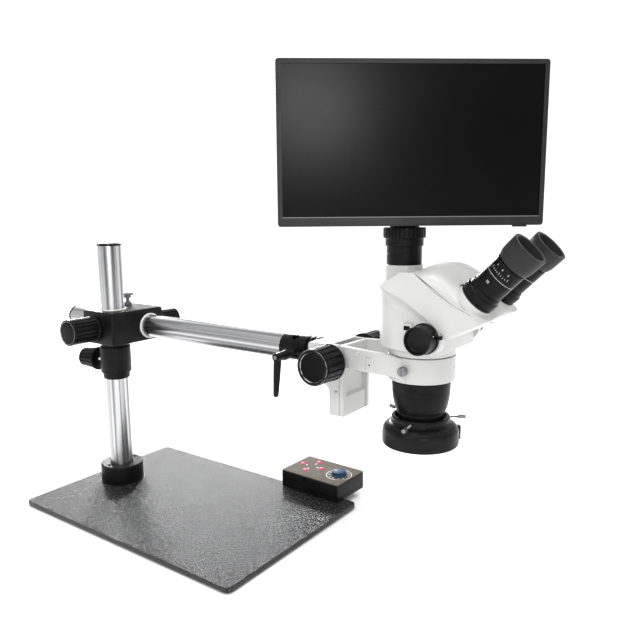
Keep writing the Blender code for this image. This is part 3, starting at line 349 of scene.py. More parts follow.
STEEL = brushed_steel()
PLATED = plated_steel()
PAINT = textured_paint()
PLATE = plate_paint()
BLACK = moulded_black()
GLOSS = glossy_black()
ANODISED = anodised_black()
ENAMEL = white_enamel()
NYLON = nylon()
RUBBER = rubber()
MAT = rubber("mat_rubber", 0.007)
GLASS = coated_glass()
SCREEN = screen_glass()
HOUSING = dark_housing()
FROST = frosted()
FILM = taupe_film()
PINK = pink_silicone()
BLUE = blue_plastic()
INK = print_ink()
DULL = dull_plate()
# painted highlight tone for the rims of the clamp and focus knobs
RIM_HIGHLIGHT = worn_edge()
BEAD = lamp_bead()

# ---------------------------------------------------------------- mesh helpers


def to_mesh(name, bm):
    """Close a bmesh into a mesh with its faces pointing out."""
    bmesh.ops.recalc_face_normals(bm, faces=bm.faces)
    mesh = bpy.data.meshes.new(name)
    bm.to_mesh(mesh)
    bm.free()
    return mesh


def piece(name, mesh, material, body, place=None, replaces=(), slot=None, sharp=32):
    """Add a mesh as a piece that rides on a body and may stand for CAD nodes."""
    obj = bpy.data.objects.new(name, mesh)
    bpy.context.scene.collection.objects.link(obj)
    if place is not None:
        obj.matrix_world = place
    mesh.materials.clear()
    mesh.materials.append(material)
    mesh.shade_smooth()
    mesh.set_sharp_from_angle(angle=radians(sharp))
    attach(obj, body)
    if replaces:
        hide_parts(*replaces)
        slot = slot or SLOTS[replaces[0]]
    return obj


def stand_for(node, mesh, material, place=None, name=None, sharp=32):
    """Add a piece that replaces one CAD node on its own body."""
    return piece(name or node + "_fine", mesh, material, BODIES[node], place, (node,), None, sharp)


def shift(x, y, z):
    """Return a matrix that moves by metres."""
    return Matrix.Translation((x, y, z))


def facing(origin, direction):
    """Return a matrix at origin whose local Z points along direction."""
    turn = Vector(direction).to_track_quat("Z", "Y").to_matrix().to_4x4()
    return Matrix.Translation(origin) @ turn


def filleted(points, closed=False, parts=4):
    """Round the corners of an outline. A point's third value is its fillet."""
    result = []
    count = len(points)
    for i, point in enumerate(points):
        here = Vector(point[:2])
        fillet = point[2] if len(point) > 2 else 0
        if not fillet or (not closed and i in (0, count - 1)):
            result.append(tuple(here))
            continue
        back = Vector(points[i - 1][:2]) - here
        ahead = Vector(points[(i + 1) % count][:2]) - here
        reach = min(fillet, 0.48 * back.length, 0.48 * ahead.length)
        first = here + back.normalized() * reach
        last = here + ahead.normalized() * reach
        for k in range(parts + 1):
            t = k / parts
            result.append(tuple((1 - t) ** 2 * first + 2 * t * (1 - t) * here + t * t * last))
    return result


def turned(profile, steps=FINE):
    """Turn a profile in millimetres round Z. It is closed unless it starts on the axis."""
    points = filleted(profile)
    bm = bmesh.new()
    rings = []
    for radius, height in points:
        if radius < 1e-6:
            rings.append([bm.verts.new((0, 0, height * MM))])
            continue
        rings.append([bm.verts.new((radius * MM * cos(2 * pi * i / steps),
                                    radius * MM * sin(2 * pi * i / steps), height * MM))
                      for i in range(steps)])
    pairs = list(zip(rings, rings[1:]))
    if len(rings[0]) > 1:
        pairs.append((rings[-1], rings[0]))
    for lower, upper in pairs:
        skin(bm, lower, upper, steps)
    return to_mesh("turned", bm)


def skin(bm, lower, upper, count):
    """Join two rings of points by faces. A ring may be a single pole."""
    for i in range(count):
        j = (i + 1) % count
        corners = (lower[i % len(lower)], lower[j % len(lower)],
                   upper[j % len(upper)], upper[i % len(upper)])
        corners = list(dict.fromkeys(corners))
        if len(corners) > 2:
            bm.faces.new(corners)


def loft(sections):
    """Skin closed sections given in metres, and close both ends."""
    bm = bmesh.new()
    rings = [[bm.verts.new(point) for point in section] for section in sections]
    for lower, upper in zip(rings, rings[1:]):
        skin(bm, lower, upper, len(lower))
    bm.faces.new(rings[0])
    bm.faces.new(rings[-1])
    return to_mesh("loft", bm)


def rounded_outline(half_x, half_y, radius, parts=8):
    """Return a rectangle with round corners about the origin, in the given unit."""
    points = []
    for quarter, (sx, sy) in enumerate(((1, 1), (-1, 1), (-1, -1), (1, -1))):
        for k in range(parts + 1):
            angle = pi / 2 * (quarter + k / parts)
            points.append((sx * (half_x - radius) + radius * cos(angle),
                           sy * (half_y - radius) + radius * sin(angle)))
    return points


def slab(size, corner, edge, parts=4):
    """Return a slab in millimetres, centred in X and Y and standing on Z = 0."""
    half_x, half_y, height = size[0] / 2, size[1] / 2, size[2]
    levels = []
    for k in range(parts + 1):
        angle = pi / 2 * k / parts
        levels.append((edge * (1 - sin(angle)), edge * (1 - cos(angle))))
    levels += [(inset, height - z) for inset, z in reversed(levels)]
    sections = []
    for inset, z in levels:
        outline = rounded_outline(half_x - inset, half_y - inset, max(corner - inset, 0.05))
        sections.append([(x * MM, y * MM, z * MM) for x, y in outline])
    return loft(sections)


def extruded(outline, low, high, along="Z"):
    """Extrude an outline in metres between two heights along an axis."""
    index = "XYZ".index(along)
    sections = []
    for level in (low, high):
        section = []
        for first, second in outline:
            point = [first, second]
            point.insert(index, level)
            section.append(point)
        sections.append(section)
    return loft(sections)


def worked(mesh, *steps):
    """Return the mesh after modifiers. Each step is (kind, settings)."""
    obj = bpy.data.objects.new("work", mesh)
    bpy.context.scene.collection.objects.link(obj)
    tools = []
    for kind, settings in steps:
        modifier = obj.modifiers.new(kind, kind)
        for key, value in settings.items():
            if key == "tool":
                tool = bpy.data.objects.new("tool", value)
                bpy.context.scene.collection.objects.link(tool)
                tools.append(tool)
                modifier.object = tool
            else:
                setattr(modifier, key, value)
    bpy.context.view_layer.update()
    graph = bpy.context.evaluated_depsgraph_get()
    result = bpy.data.meshes.new_from_object(obj.evaluated_get(graph))
    for item in [obj, *tools]:
        bpy.data.objects.remove(item, do_unlink=True)
    return result


def combined(mesh, operation, tools):
    """Apply one boolean after another to a mesh."""
    return worked(mesh, *[("BOOLEAN", {"tool": tool, "operation": operation, "solver": "EXACT"})
                          for tool in tools])


def cut(mesh, *tools):
    """Cut tool meshes out of a mesh, all in the same coordinates."""
    return combined(mesh, "DIFFERENCE", tools)


def joined(mesh, *tools):
    """Unite meshes into one closed shape."""
    return combined(mesh, "UNION", tools)


def kept_inside(mesh, tool):
    """Keep what two meshes share."""
    return combined(mesh, "INTERSECT", [tool])


def softened(mesh, width, segments=3, angle=30):
    """Round a mesh's edges; width in metres."""
    return worked(mesh, ("BEVEL", {"width": width, "segments": segments, "limit_method": "ANGLE",
                                   "angle_limit": radians(angle)}))


def rod(start, end, radius, steps=SMALL):
    """Return a cylinder mesh between two points, in metres."""
    start = Vector(start)
    end = Vector(end)
    length = (end - start).length
    mesh = turned([(0, length / MM), (radius / MM, length / MM), (radius / MM, 0), (0, 0)], steps)
    mesh.transform(facing(start, end - start))
    return mesh


def block(low, high):
    """Return a box mesh between two corners, in metres."""
    outline = [(low[0], low[1]), (high[0], low[1]), (high[0], high[1]), (low[0], high[1])]
    return extruded(outline, low[2], high[2])


def gathered(meshes):
    """Return one mesh that holds several separate ones."""
    bm = bmesh.new()
    for mesh in meshes:
        bm.from_mesh(mesh)
    result = bpy.data.meshes.new("gathered")
    bm.to_mesh(result)
    bm.free()
    return result


def fluted(stations, flutes, groove=0.36, points=16):
    """Return a grip along Z from (height, radius, groove depth) stations in millimetres.

    A station without the third value has no grooves.
    """
    bm = bmesh.new()
    count = flutes * points
    rings = []
    for height, radius, *groove_depth in stations:
        depth = groove_depth[0] if groove_depth else 0
        if radius < 1e-6:
            rings.append([bm.verts.new((0, 0, height * MM))])
            continue
        ring = []
        for i in range(count):
            phase = (i / points) % 1
            inside = max(0, 1 - abs(phase - 0.5) / (groove / 2))
            dip = depth * min(1, 2.2 * inside) ** 1.5
            angle = 2 * pi * i / count
            ring.append(bm.verts.new(((radius - dip) * MM * cos(angle),
                                      (radius - dip) * MM * sin(angle), height * MM)))
        rings.append(ring)
    for lower, upper in zip(rings, rings[1:]):
        skin(bm, lower, upper, count)
    return to_mesh("fluted", bm)


def thread(radius, start, end, pitch=1.25):
    """Return a profile in millimetres of a threaded stud between two heights."""
    profile = [(0, start)]
    turns = int(abs(end - start) / pitch)
    way = 1 if end > start else -1
    for i in range(turns):
        profile.append((radius, start + way * pitch * (i + 0.15)))
        profile.append((radius - 0.45, start + way * pitch * (i + 0.65)))
    profile.append((radius - 0.45, end))
    profile.append((0, end))
    return profile


def digits(words, size, depth=0.05):
    """Return flat raised characters, centred at the origin in the XY plane; sizes in millimetres."""
    curve = bpy.data.curves.new("digits", "FONT")
    curve.body = words
    curve.size = size * MM
    curve.align_x = "CENTER"
    curve.align_y = "CENTER"
    curve.extrude = depth * MM
    curve.resolution_u = 3
    obj = bpy.data.objects.new("digits", curve)
    bpy.context.scene.collection.objects.link(obj)
    bpy.context.view_layer.update()
    mesh = bpy.data.meshes.new_from_object(obj)
    bpy.data.objects.remove(obj, do_unlink=True)
    bpy.data.curves.remove(curve)
    return mesh


def dash(width, length, depth=0.06):
    """Return a printed dash, centred at the origin: X by Y by a hair's height, in millimetres."""
    corner = Vector((width / 2, length / 2, depth)) * MM
    return block(-corner, corner)


def placed(mesh, matrix):
    mesh.transform(matrix)
    return mesh


def on_cylinder(radius, angle, height):
    """Return a matrix on a cylinder round Z: X round it, Y up it, Z out of it; millimetres, radians."""
    out = Vector((cos(angle), sin(angle), 0))
    along = Vector((-sin(angle), cos(angle), 0))
    turn = Matrix((along, Vector((0, 0, 1)), out)).transposed().to_4x4()
    return Matrix.Translation(out * radius * MM + Vector((0, 0, height * MM))) @ turn


# ---------------------------------------------------------------- base and pillar


def make_base():
    """Plate, mat, flange with its socket screws, pillar and cap."""
    frame["nodes"]["base_mat"].data.materials.clear()
    frame["nodes"]["base_mat"].data.materials.append(MAT)

    low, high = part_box("base_plate")
    size = (high - low) / MM
    middle = (low + high) / 2
    mesh = slab(size, 8, 1.2, 5)
    stand_for("base_plate", mesh, PLATE, shift(middle.x, middle.y, low.z))

    low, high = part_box("pillar_flange")
    height = (high.z - low.z) / MM
    radius = (high.x - low.x) / 2 / MM
    bore = (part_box("pillar")[1].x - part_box("pillar")[0].x) / 2 / MM + 0.2
    flange = turned([(bore, height, 0.4), (radius, height, 2.6), (radius, 0, 0.5), (bore, 0)])
    offset = abs(centre("flange_screw_1").x)
    for x in (-offset, offset):
        flange = cut(flange, rod((x, 0, (height - 5) * MM), (x, 0, (height + 4) * MM), 0.0046))
    stand_for("pillar_flange", flange, PAINT, shift(0, 0, low.z))
    for node in ("flange_screw_1", "flange_screw_2"):
        place = shift(centre(node).x, centre(node).y, low.z + (height - 0.4) * MM)
        screw = turned([(0, 0), (4.2, 0, 0.5), (4.2, -4.6), (0, -4.6)], SMALL)
        screw = cut(screw, turned([(0, 1), (2.4, 1), (2.4, -2.6), (0, -3.2)], 6))
        stand_for(node, screw, ANODISED, place)

    low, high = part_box("pillar")
    height = (high.z - low.z) / MM
    mesh = turned([(TUBE_BORE, height), (TUBE_R, height, 0.6), (TUBE_R, 0), (TUBE_BORE, 0)])
    stand_for("pillar", mesh, STEEL, shift(0, 0, low.z))
    make_end_cap("pillar_cap_fine", shift(0, 0, high.z), "base", ("pillar_cap",))


def make_end_cap(name, place, body, replaces=(), slot=None):
    """Black plug with a lip over the end of a tube; local Z points out of the tube."""
    mesh = turned([(0, 3.4), (9, 3.3), (15.8, 3, 0.9), (16.6, 2.2, 0.5), (16.6, 0.1, 0.3),
                   (12.7, 0.1, 0.3), (12.4, -11, 0.6), (0, -11)])
    piece(name, mesh, BLACK, body, place, replaces, slot)


# ---------------------------------------------------------------- carriage on the pillar


def clamp_knob(node, origin, direction, base, end, length, gap, flutes=20):
    """Fluted clamp knob: a collar, tapering ribs, a rimmed end with an insert, and a threaded stud."""
    place = facing(origin, direction)
    stations = [
        (0, 0), (0, base - 1), (0.5, base), (2.4, base), (3, base - 0.6), (3.2, base - 1, 1.1),
        (5, base - 1.1, 1.5), (length - 3.6, end - 0.2, 1.5), (length - 2.6, end - 0.2, 1.2),
        (length - 2.2, end + 0.2), (length - 0.6, end + 0.1), (length, end - 0.6), (length, end - 2.6),
        (length - 0.5, end - 3.1), (length - 1.2, end - 3.2), (length - 1.2, 0),
    ]
    stand_for(node, fluted(stations, flutes, 0.34), BLACK, place)
    insert = turned([(0, -0.5), (end - 4, -0.5, 0.5), (end - 3.6, -1.3), (0, -1.3)])
    insert.transform(shift(0, 0, length * MM))
    piece(node + "_insert", insert, GLOSS, BODIES[node], place, slot=SLOTS[node])
    # the rim ring's bright metallic tone is a painted highlight along the knob's rounded end
    rim = turned([(end - 3, -0.45, 0.1), (end - 2.6, 0.06, 0.1), (end - 2.1, 0.10), (end - 2.6, -0.3)])
    rim.transform(shift(0, 0, length * MM))
    piece(node + "_rim", rim, RIM_HIGHLIGHT, BODIES[node], place, slot=SLOTS[node])
    stud = turned(thread(3.9, 0.4, -gap), SMALL)
    piece(node + "_stud", stud, PLATED, BODIES[node], place, slot="screw_steel", sharp=60)


def make_carriage():
    """Stop collar, boom block, bushes, clamp knobs and set screw."""
    low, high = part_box("stop_collar")
    height = (high.z - low.z) / MM
    collar = turned([
        (SLIDE_R, height, 0.3), (19, height, 0.8), (19, height - 5, 0.3), (21.5, height - 5.6, 1.6),
        (21.5, height - 30), (21.5, 12.6, 0.2), (21.2, 12.2, 0.2), (21.2, 11.6, 0.2), (21.5, 11.2, 0.2),
        (21.5, 9.6, 0.9), (19, 8.6, 0.4), (18.6, 1.2, 0.8), (17.6, 0, 0.3), (SLIDE_R, 0),
    ])
    out = axis("collar_clamp_turn")
    out = Vector((out.x, out.y, 0))
    stud = pivot("collar_clamp_turn") - Vector((0, 0, low.z))
    collar = cut(collar, rod(stud + out * 0.012, stud + out * 0.03, STUD_HOLE))
    stand_for("stop_collar", collar, PAINT, shift(0, 0, low.z))
    knob_reach = 0.030
    hub = pivot("collar_clamp_turn") + out * knob_reach
    clamp_knob("collar_knob", hub, out, 17.2, 13.2, 30, 13, 16)

    low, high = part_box("boom_block")
    mesh = softened(block(low, high), 0.003, 6)
    arm = centre("boom_arm")
    seat = 0.0185
    depth = 0.008
    bore = SLIDE_R * MM
    pillar_stud = pivot("pillar_clamp_turn")
    arm_stud = pivot("arm_clamp_turn")
    screw = pivot("block_screw_turn")
    for start, end, radius, steps in (
        ((0, 0, low.z - 0.01), (0, 0, high.z + 0.01), bore, FINE),
        ((0, 0, high.z - depth), (0, 0, high.z + 0.01), seat, FINE),
        ((arm.x, low.y - 0.01, arm.z), (arm.x, high.y + 0.01, arm.z), bore, FINE),
        ((arm.x, low.y - 0.01, arm.z), (arm.x, low.y + depth, arm.z), seat, FINE),
        (pillar_stud + Vector((-0.01, 0, 0)), pillar_stud + Vector((0.02, 0, 0)), STUD_HOLE, SMALL),
        (arm_stud + Vector((-0.02, 0, 0)), arm_stud + Vector((0.01, 0, 0)), STUD_HOLE, SMALL),
        (screw + Vector((0, 0, -0.02)), screw + Vector((0, 0, 0.01)), 0.0032, SMALL),
    ):
        mesh = cut(mesh, rod(start, end, radius, steps))
    stand_for("boom_block", mesh, PAINT)

    ring = [(SLIDE_R, 1.6, 0.4), (18.2, 1.6, 0.7), (18.2, -7.6), (SLIDE_R, -7.6)]
    stand_for("pillar_bush", turned(ring), NYLON, shift(0, 0, high.z))
    stand_for("arm_bush", turned(ring), NYLON, facing((arm.x, low.y, arm.z), (0, -1, 0)))

    clamp_knob("pillar_clamp_knob", pivot("pillar_clamp_turn"), (-1, 0, 0), 19, 18, 41.5, 13)
    clamp_knob("arm_clamp_knob", pivot("arm_clamp_turn"), (1, 0, 0), 17.8, 16, 37, 10)
    make_set_screw()


def make_set_screw():
    """Knurled set screw standing on the block, with its lock nut."""
    head = fluted([(15, 0), (15, 8.2), (15.4, 8.8), (15.7, 9, 0.25),
                   (18.3, 9, 0.25), (18.6, 8.7), (19, 8), (19, 0)], 44, 0.5, 6)
    neck = turned([(0, 15), (3.2, 15), (3.2, 13.8), (5.4, 13.6, 0.3), (5.4, 11.2, 0.3),
                   (3, 10.8, 0.2), (3, 6), (5.8, 5.4, 0.4), (5.8, 0.1), (0, 0.1)], SMALL)
    shank = turned(thread(2.6, 0.3, -8.6, 0.8), SMALL)
    place = Matrix.Translation(pivot("block_screw_turn"))
    stand_for("block_thumb_screw", head, DULL, place)
    piece("block_screw_neck", gathered([neck, shank]), DULL, "block_screw", place, slot="screw_steel")


# ---------------------------------------------------------------- boom arm


def make_arm():
    """Arm tube with its rear cap, end fitting, tilt pin and clamp lever."""
    low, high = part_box("boom_arm")
    mid_x = (low.x + high.x) / 2
    mid_z = (low.z + high.z) / 2
    length = (high.y - low.y) / MM
    place = facing((mid_x, low.y, mid_z), (0, 1, 0))
    tube = turned([(TUBE_BORE, length), (TUBE_R, length, 0.6), (TUBE_R, 0, 0.3), (TUBE_BORE, 0)])
    stand_for("boom_arm", tube, STEEL, place)
    make_end_cap("arm_rear_cap", place @ shift(0, 0, length * MM), "boom", slot="cap_plastic")

    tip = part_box("arm_end_fitting")[0].y
    depth = (low.y - tip) / MM
    fitting = turned([
        (0, 24), (12.6, 24, 0.6), (12.6, -0.2), (16, -0.2, 0.4), (16, -depth, 0.5), (9.3, -depth, 0.4),
        (9.3, -8), (0, -8),
    ])
    fitting.transform(place)
    lever = pivot("lever_turn")
    fitting = cut(fitting, rod(lever, (mid_x - 0.007, lever.y, lever.z), 0.0034))
    tilt = radians(30)
    up = Vector((-sin(tilt), 0, cos(tilt)))
    middle = Vector((mid_x, lever.y + 0.0015, mid_z))
    fitting = cut(fitting, rod(middle + up * 0.0125, middle + up * 0.022, 0.0046))
    stand_for("arm_end_fitting", fitting, ANODISED)
    make_tilt_pin(mid_x, mid_z)
    make_lever(lever)


def make_tilt_pin(mid_x, mid_z):
    """Grooved black collar between the arm and the focus unit."""
    low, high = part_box("tilt_pin")
    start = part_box("arm_end_fitting")[0].y
    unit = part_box("focus_body")[1].y
    place = facing((mid_x, start, mid_z), (0, 1, 0))
    span = (start - unit) / MM
    inner = (high.y - start) / MM
    outer = (start - low.y) / MM
    mesh = turned([
        (0, inner), (9, inner, 0.5), (9, -0.3, 0.2), (13.5, -0.3), (13.5, -2.3, 0.2), (15.8, -2.5, 0.5),
        (15.8, -7, 0.5), (13.5, -7.3, 0.2), (13.5, -9.2, 0.2), (15.8, -9.4, 0.5), (15.8, 0.3 - span, 0.4),
        (9, 0.3 - span), (9, -outer, 0.4), (0, -outer),
    ])
    stand_for("tilt_pin", mesh, ANODISED, place)


def make_lever(origin):
    """Ratchet lever: ribbed hub with an end screw, tapering handle, threaded stud."""
    place = facing(origin, (-1, 0, 0))
    hub = turned([(0, 21.6), (2.4, 21.6), (2.6, 22.5, 0.3), (4, 22.5, 0.6), (5.2, 20.6, 1),
                  (5.3, 12.4, 0.5), (4.6, 11, 0.5), (5.4, 9.6, 0.4), (6.2, 4, 0.6), (6.2, 0, 0.4),
                  (0, 0)], SMALL)
    sections = []
    handle_z = 17
    stations = ((0, 4.3, 4.4), (8, 4.1, 4.3), (20, 3.8, 4), (34, 3.2, 3.5), (43, 2.9, 3.1),
                (45.6, 2.6, 2.8), (46.6, 2, 2.2), (47, 1, 1.1))
    for drop, half_x, half_y in stations:
        section = []
        for i in range(32):
            angle = 2 * pi * i / 32
            square = 1 / (abs(cos(angle)) ** 3 + abs(sin(angle)) ** 3) ** (1 / 3)
            lean = handle_z + 4.5 * drop / 47
            section.append(Vector(((origin.x / MM - lean) + half_x * square * cos(angle),
                                   origin.y / MM + half_y * square * sin(angle),
                                   origin.z / MM - drop)) * MM)
        sections.append(section)
    handle = loft(sections)
    hub.transform(place)
    lever = joined(hub, handle)
    stand_for("clamp_lever", lever, BLACK, sharp=40)
    slot_tool = block((-0.004, -0.0004, -0.0006), (0.004, 0.0004, 0.001))
    screw = cut(turned([(0, 0), (2.3, 0, 0.3), (2.3, -1.5), (0, -1.5)], SMALL), slot_tool)
    screw.transform(shift(0, 0, 22.3 * MM))
    piece("lever_end_screw", screw, DULL, "lever", place, slot="screw_steel")
    stud = turned(thread(2.9, 0.2, -17.5, 1), SMALL)
    piece("lever_stud", stud, ANODISED, "lever", place, slot="black_anodised", sharp=60)


# ---------------------------------------------------------------- focus unit


def make_focus_unit():
    """Focus body, knobs, rack and pinion."""
    low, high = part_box("focus_body")
    step_y = low.y + 0.014
    step_z = low.z + 0.044
    outline = filleted([(high.y, high.z, 0.005), (high.y, step_z, 0.004), (step_y, step_z - 0.012, 0.006),
                        (step_y, low.z), (low.y, low.z), (low.y, high.z)], True, 6)
    body = softened(extruded(outline, low.x, high.x, "X"), 0.0014, 4, 40)
    spin = pivot("focus_turn")
    middle = (low.x + high.x) / 2
    pin = centre("tilt_pin")
    channel = 0.0230
    hole = Vector((low.x, low.y + 0.004, low.z + 0.029))
    for tool in (
        rod((pin.x, high.y + 0.01, pin.z), (pin.x, spin.y + 0.0165, pin.z), 0.0093, FINE),
        rod((low.x - 0.02, spin.y, spin.z), (high.x + 0.02, spin.y, spin.z), SHAFT_HOLE),
        block((middle - channel, low.y - 0.01, low.z - 0.01),
        (middle + channel, spin.y + 0.0048, high.z + 0.01)),
        rod((low.x - 0.001, hole.y, hole.z), (low.x + 0.004, hole.y, hole.z), 0.0014),
    ):
        body = cut(body, tool)
    stand_for("focus_body", body, ENAMEL)
    boss = turned([(0, 7), (13.5, 7, 0.4), (14.5, 0.1), (0, 0.1)])
    boss = cut(boss, rod((0, 0, -0.001), (0, 0, 0.01), SHAFT_HOLE))
    for side, sign in SIDES:
        edge = high.x if sign > 0 else low.x
        piece(f"focus_boss_{side}", boss.copy(), ANODISED, "focus_mount",
              facing((edge, spin.y, spin.z), (sign, 0, 0)), slot="black_anodised")
        make_focus_knob(side, sign, spin)
    half = (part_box("pinion_shaft")[1].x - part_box("pinion_shaft")[0].x) / 2 / MM
    shaft = turned([(0, half), (3, half, 0.3), (3, 20, 0.2), (3.9, 20, 0.2), (3.9, -20, 0.2),
                    (3, -20, 0.2), (3, -half, 0.3), (0, -half)], SMALL)
    stand_for("pinion_shaft", shaft, PLATED, facing(spin, (1, 0, 0)))
    make_rack()


def make_focus_knob(side, sign, spin):
    """Focus knob: rear rim, deep rectangular pads, and a rimmed end with a glossy insert."""
    node = f"focus_knob_{side}"
    low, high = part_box(node)
    inner = low.x if sign > 0 else high.x
    length = (high.x - low.x) / MM
    stations = [
        (0.3, 0), (0.3, 3.4), (0, 19), (0.3, 20.8), (0.9, 21.2), (2.8, 21.2), (3.3, 20.9),
        (3.5, 20.7, 1.3), (4.2, 20.6, 1.7), (length - 5.2, 20.1, 1.7), (length - 4.6, 20.1, 1.4),
        (length - 4.2, 20.4), (length - 1, 20.2), (length - 0.2, 19.7), (length, 18.9), (length, 17.4),
        (length - 0.6, 16.7), (length - 2.4, 16.4), (length - 2.4, 0),
    ]
    place = facing((inner, spin.y, spin.z), (sign, 0, 0))
    stand_for(node, fluted(stations, 18, 0.40), BLACK, place)
    dish = turned([(0, -2.2), (12, -2.1), (15.2, -1.6, 0.6), (16.2, -1.6, 0.3), (16.2, -2.5),
                   (0, -2.5)])
    dish.transform(shift(0, 0, length * MM))
    piece(node + "_insert", dish, GLOSS, "focus_drive", place, slot="knob_plastic")
    # the two rim rings carry a painted highlight: a bright metallic tone along the end's rounded edges
    rims = [turned([(16.1, -1.4, 0.1), (16.5, -1, 0.1), (16.9, -0.45, 0.1), (16.5, -1.6)]),
            turned([(19.05, -0.10), (19.45, -0.10, 0.1), (19.95, -0.45), (19.4, -0.6)])]
    for rim in rims:
        rim.transform(shift(0, 0, length * MM))
    piece(node + "_rims", gathered(rims), RIM_HIGHLIGHT, "focus_drive", place, slot="knob_plastic")


def make_rack():
    """Rack bar with its teeth towards the pinion."""
    low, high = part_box("focus_rack")
    pitch = 0.00157
    bars = [block(low, (high.x, high.y - 0.0008, high.z))]
    count = int((high.z - low.z) / pitch) - 1
    middle = (low.x + high.x) / 2
    for i in range(count):
        z = low.z + (i + 0.5) * pitch
        bars.append(block((middle - 0.008, high.y - 0.0010, z), (middle + 0.008, high.y, z + pitch * 0.5)))
    stand_for("focus_rack", gathered(bars), ANODISED)


def make_bracket():
    """Slide plate, side arms and clamp ring as one casting, with its thumb screw."""
    low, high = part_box("ring_bracket")
    unit_low, unit_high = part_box("focus_body")
    head = pivot("head_swivel")
    rear = high.y
    front = rear - 0.0057
    slide = softened(block((unit_low.x, front, low.z), (unit_high.x, rear, high.z)), 0.0012, 4)
    margin = 0.0062
    left = unit_low.x + margin
    right = unit_high.x - margin
    floor_z = low.z - 0.004
    top_z = low.z + 0.0535
    panel = filleted([(left, floor_z), (right, floor_z), (right, top_z, 0.006),
                      (left, top_z, 0.016)], True, 8)
    pocket = filleted([(left + 0.0016, low.z + 0.0250, 0.003), (right - 0.0016, low.z + 0.0250, 0.003),
                       (right - 0.0016, top_z - 0.0016, 0.005),
                       (left + 0.0016, top_z - 0.0016, 0.015)], True, 8)
    ledge = low.z + 0.0250
    slope = [(front - 0.001, ledge - 0.0050), (front + 0.0044, ledge + 0.0004),
             (front - 0.001, ledge + 0.004)]
    slide = cut(slide, extruded(panel, front - 0.004, front + 0.0013, "Y"))
    slide = cut(slide, softened(extruded(pocket, front - 0.004, front + 0.0044, "Y"), 0.0008, 2, 50))
    slide = cut(slide, extruded(slope, left + 0.0020, right - 0.0020, "X"))

    ring_r = 0.0363
    bore_r = 0.0330
    ring_z1 = 0.2500
    half = (unit_high.x - unit_low.x) / 2
    ease = 8
    arms = []
    for sign in (-1, 1):
        sections = []
        for k in range(ease + 1):
            t = k / ease
            y = front + 0.004 + (head.y + 0.003 - front - 0.004) * t
            outer = half + (0.0369 - half) * sin(pi / 2 * min(1, t * 1.12)) ** 1.15
            inner = outer - 0.0068 + 0.0014 * t
            top = high.z - 0.0001 - 0.0003 * t - 0.0033 * max(0, t - 0.80) / 0.20
            bottom = RING_Z + 0.0050
            sections.append([(head.x + sign * outer, y, bottom), (head.x + sign * outer, y, top),
                             (head.x + sign * inner, y, top), (head.x + sign * inner, y, bottom)])
        arms.append(softened(loft(sections), 0.0006, 2, 50))
    casting = joined(slide, *arms)
    relief = rod((head.x, head.y, ring_z1 + 0.0007), (head.x, head.y, high.z + 0.02), 0.0367, FINE)
    room = rod((head.x, head.y, low.z), (head.x, head.y, high.z + 0.02), ring_r - 0.0015, FINE)
    casting = cut(casting, relief, room)
    inside = bore_r / MM
    outside = ring_r / MM
    tall = 26.6
    ring = turned([(inside, tall, 0.4), (outside, tall, 0.8), (outside, 0, 0.8), (inside, 0)], 144)
    ring.transform(shift(head.x, head.y, RING_Z))
    casting = joined(casting, ring)
    screw = pivot("ring_screw_turn")
    face = head.x - ring_r
    edge = unit_low.x
    seam_half = 0.00014
    lug_y = -0.4229
    lug_hole_z = 0.2369
    far_x = head.x + half
    far_y = -0.3743
    far_z = 0.2427
    side_x = head.x - 0.0340
    for tool in (
        rod((face - 0.004, head.y, screw.z), (face + 0.006, head.y, screw.z), 0.0024),
        block((face - 0.001, head.y - seam_half, RING_Z - 0.001),
              (face + 0.0005, head.y + seam_half, ring_z1 + 0.001)),
        rod((edge - 0.008, lug_y - 0.0046, lug_hole_z), (edge + 0.002, lug_y - 0.0046, lug_hole_z), 0.0012),
        block((edge - 0.012, lug_y - 0.0002, 0.2310), (side_x + 0.0010, lug_y + 0.0002, 0.2452)),
        block((edge - 0.012, lug_y - 0.0080, 0.2450), (side_x + 0.0012, lug_y + 0.0002, 0.2454)),
        rod((far_x - 0.012, far_y, far_z), (far_x - 0.0045, far_y, far_z), 0.0013),
    ):
        casting = cut(casting, tool)
    angle = radians(-71)
    out = Vector((cos(angle), sin(angle), 0))
    seam = block((-0.001, -seam_half, RING_Z - 0.001), (0.0006, seam_half, ring_z1 + 0.001))
    seam.transform(shift(head.x + out.x * ring_r, head.y + out.y * ring_r, 0)
                   @ Matrix.Rotation(angle, 4, "Z"))
    hole_angle = radians(-82.6)
    hole = Vector((cos(hole_angle), sin(hole_angle), 0))
    spot = Vector((head.x, head.y, 0.2385))
    casting = cut(casting, seam, rod(spot + hole * 0.031, spot + hole * 0.040, 0.0014))
    stand_for("ring_bracket", casting, ENAMEL, sharp=28)
    make_thumb_screw(screw)
    head_screw = cut(turned([(0, 1.6), (2.3, 1.6, 0.5), (2.7, 0), (0, -0.6)], SMALL),
                     block((-0.003, -0.0004, 0.0007), (0.003, 0.0004, 0.003)))
    side = Vector((-0.9898, -0.1423, 0))
    piece("bracket_screw", head_screw, ENAMEL, "focus_slide",
          facing((unit_low.x - 0.0044, -0.4114, 0.2474), side), slot="white_enamel")


def make_thumb_screw(origin):
    """Plated thumb screw in the ring's side, with a slotted head."""
    slot_tool = block((-0.0004, -0.007, 0.0060), (0.0004, 0.007, 0.009))
    head = cut(fluted([(0, 0), (0, 2.4), (0.8, 4.2), (1.4, 5.1, 0.12),
                       (6, 5.1, 0.12), (6.6, 4.7), (6.8, 4.1),
                       (6.8, 0)], 34, 0.5, 4), slot_tool)
    place = facing(origin, (-1, 0, 0))
    stand_for("ring_thumb_screw", head, DULL, place)
    piece("ring_screw_shank", turned(thread(2, 0.2, -6, 0.7), SMALL), PLATED, "ring_screw", place,
          slot="screw_steel", sharp=60)


# ---------------------------------------------------------------- head


def seam_line():
    """Return the seam between body and cover in the head's side view: (y, z) in metres."""
    return [(-0.4873, 0.3408), (-0.5098, 0.3228), (-0.5290, 0.3118), (-0.5600, 0.2976)]


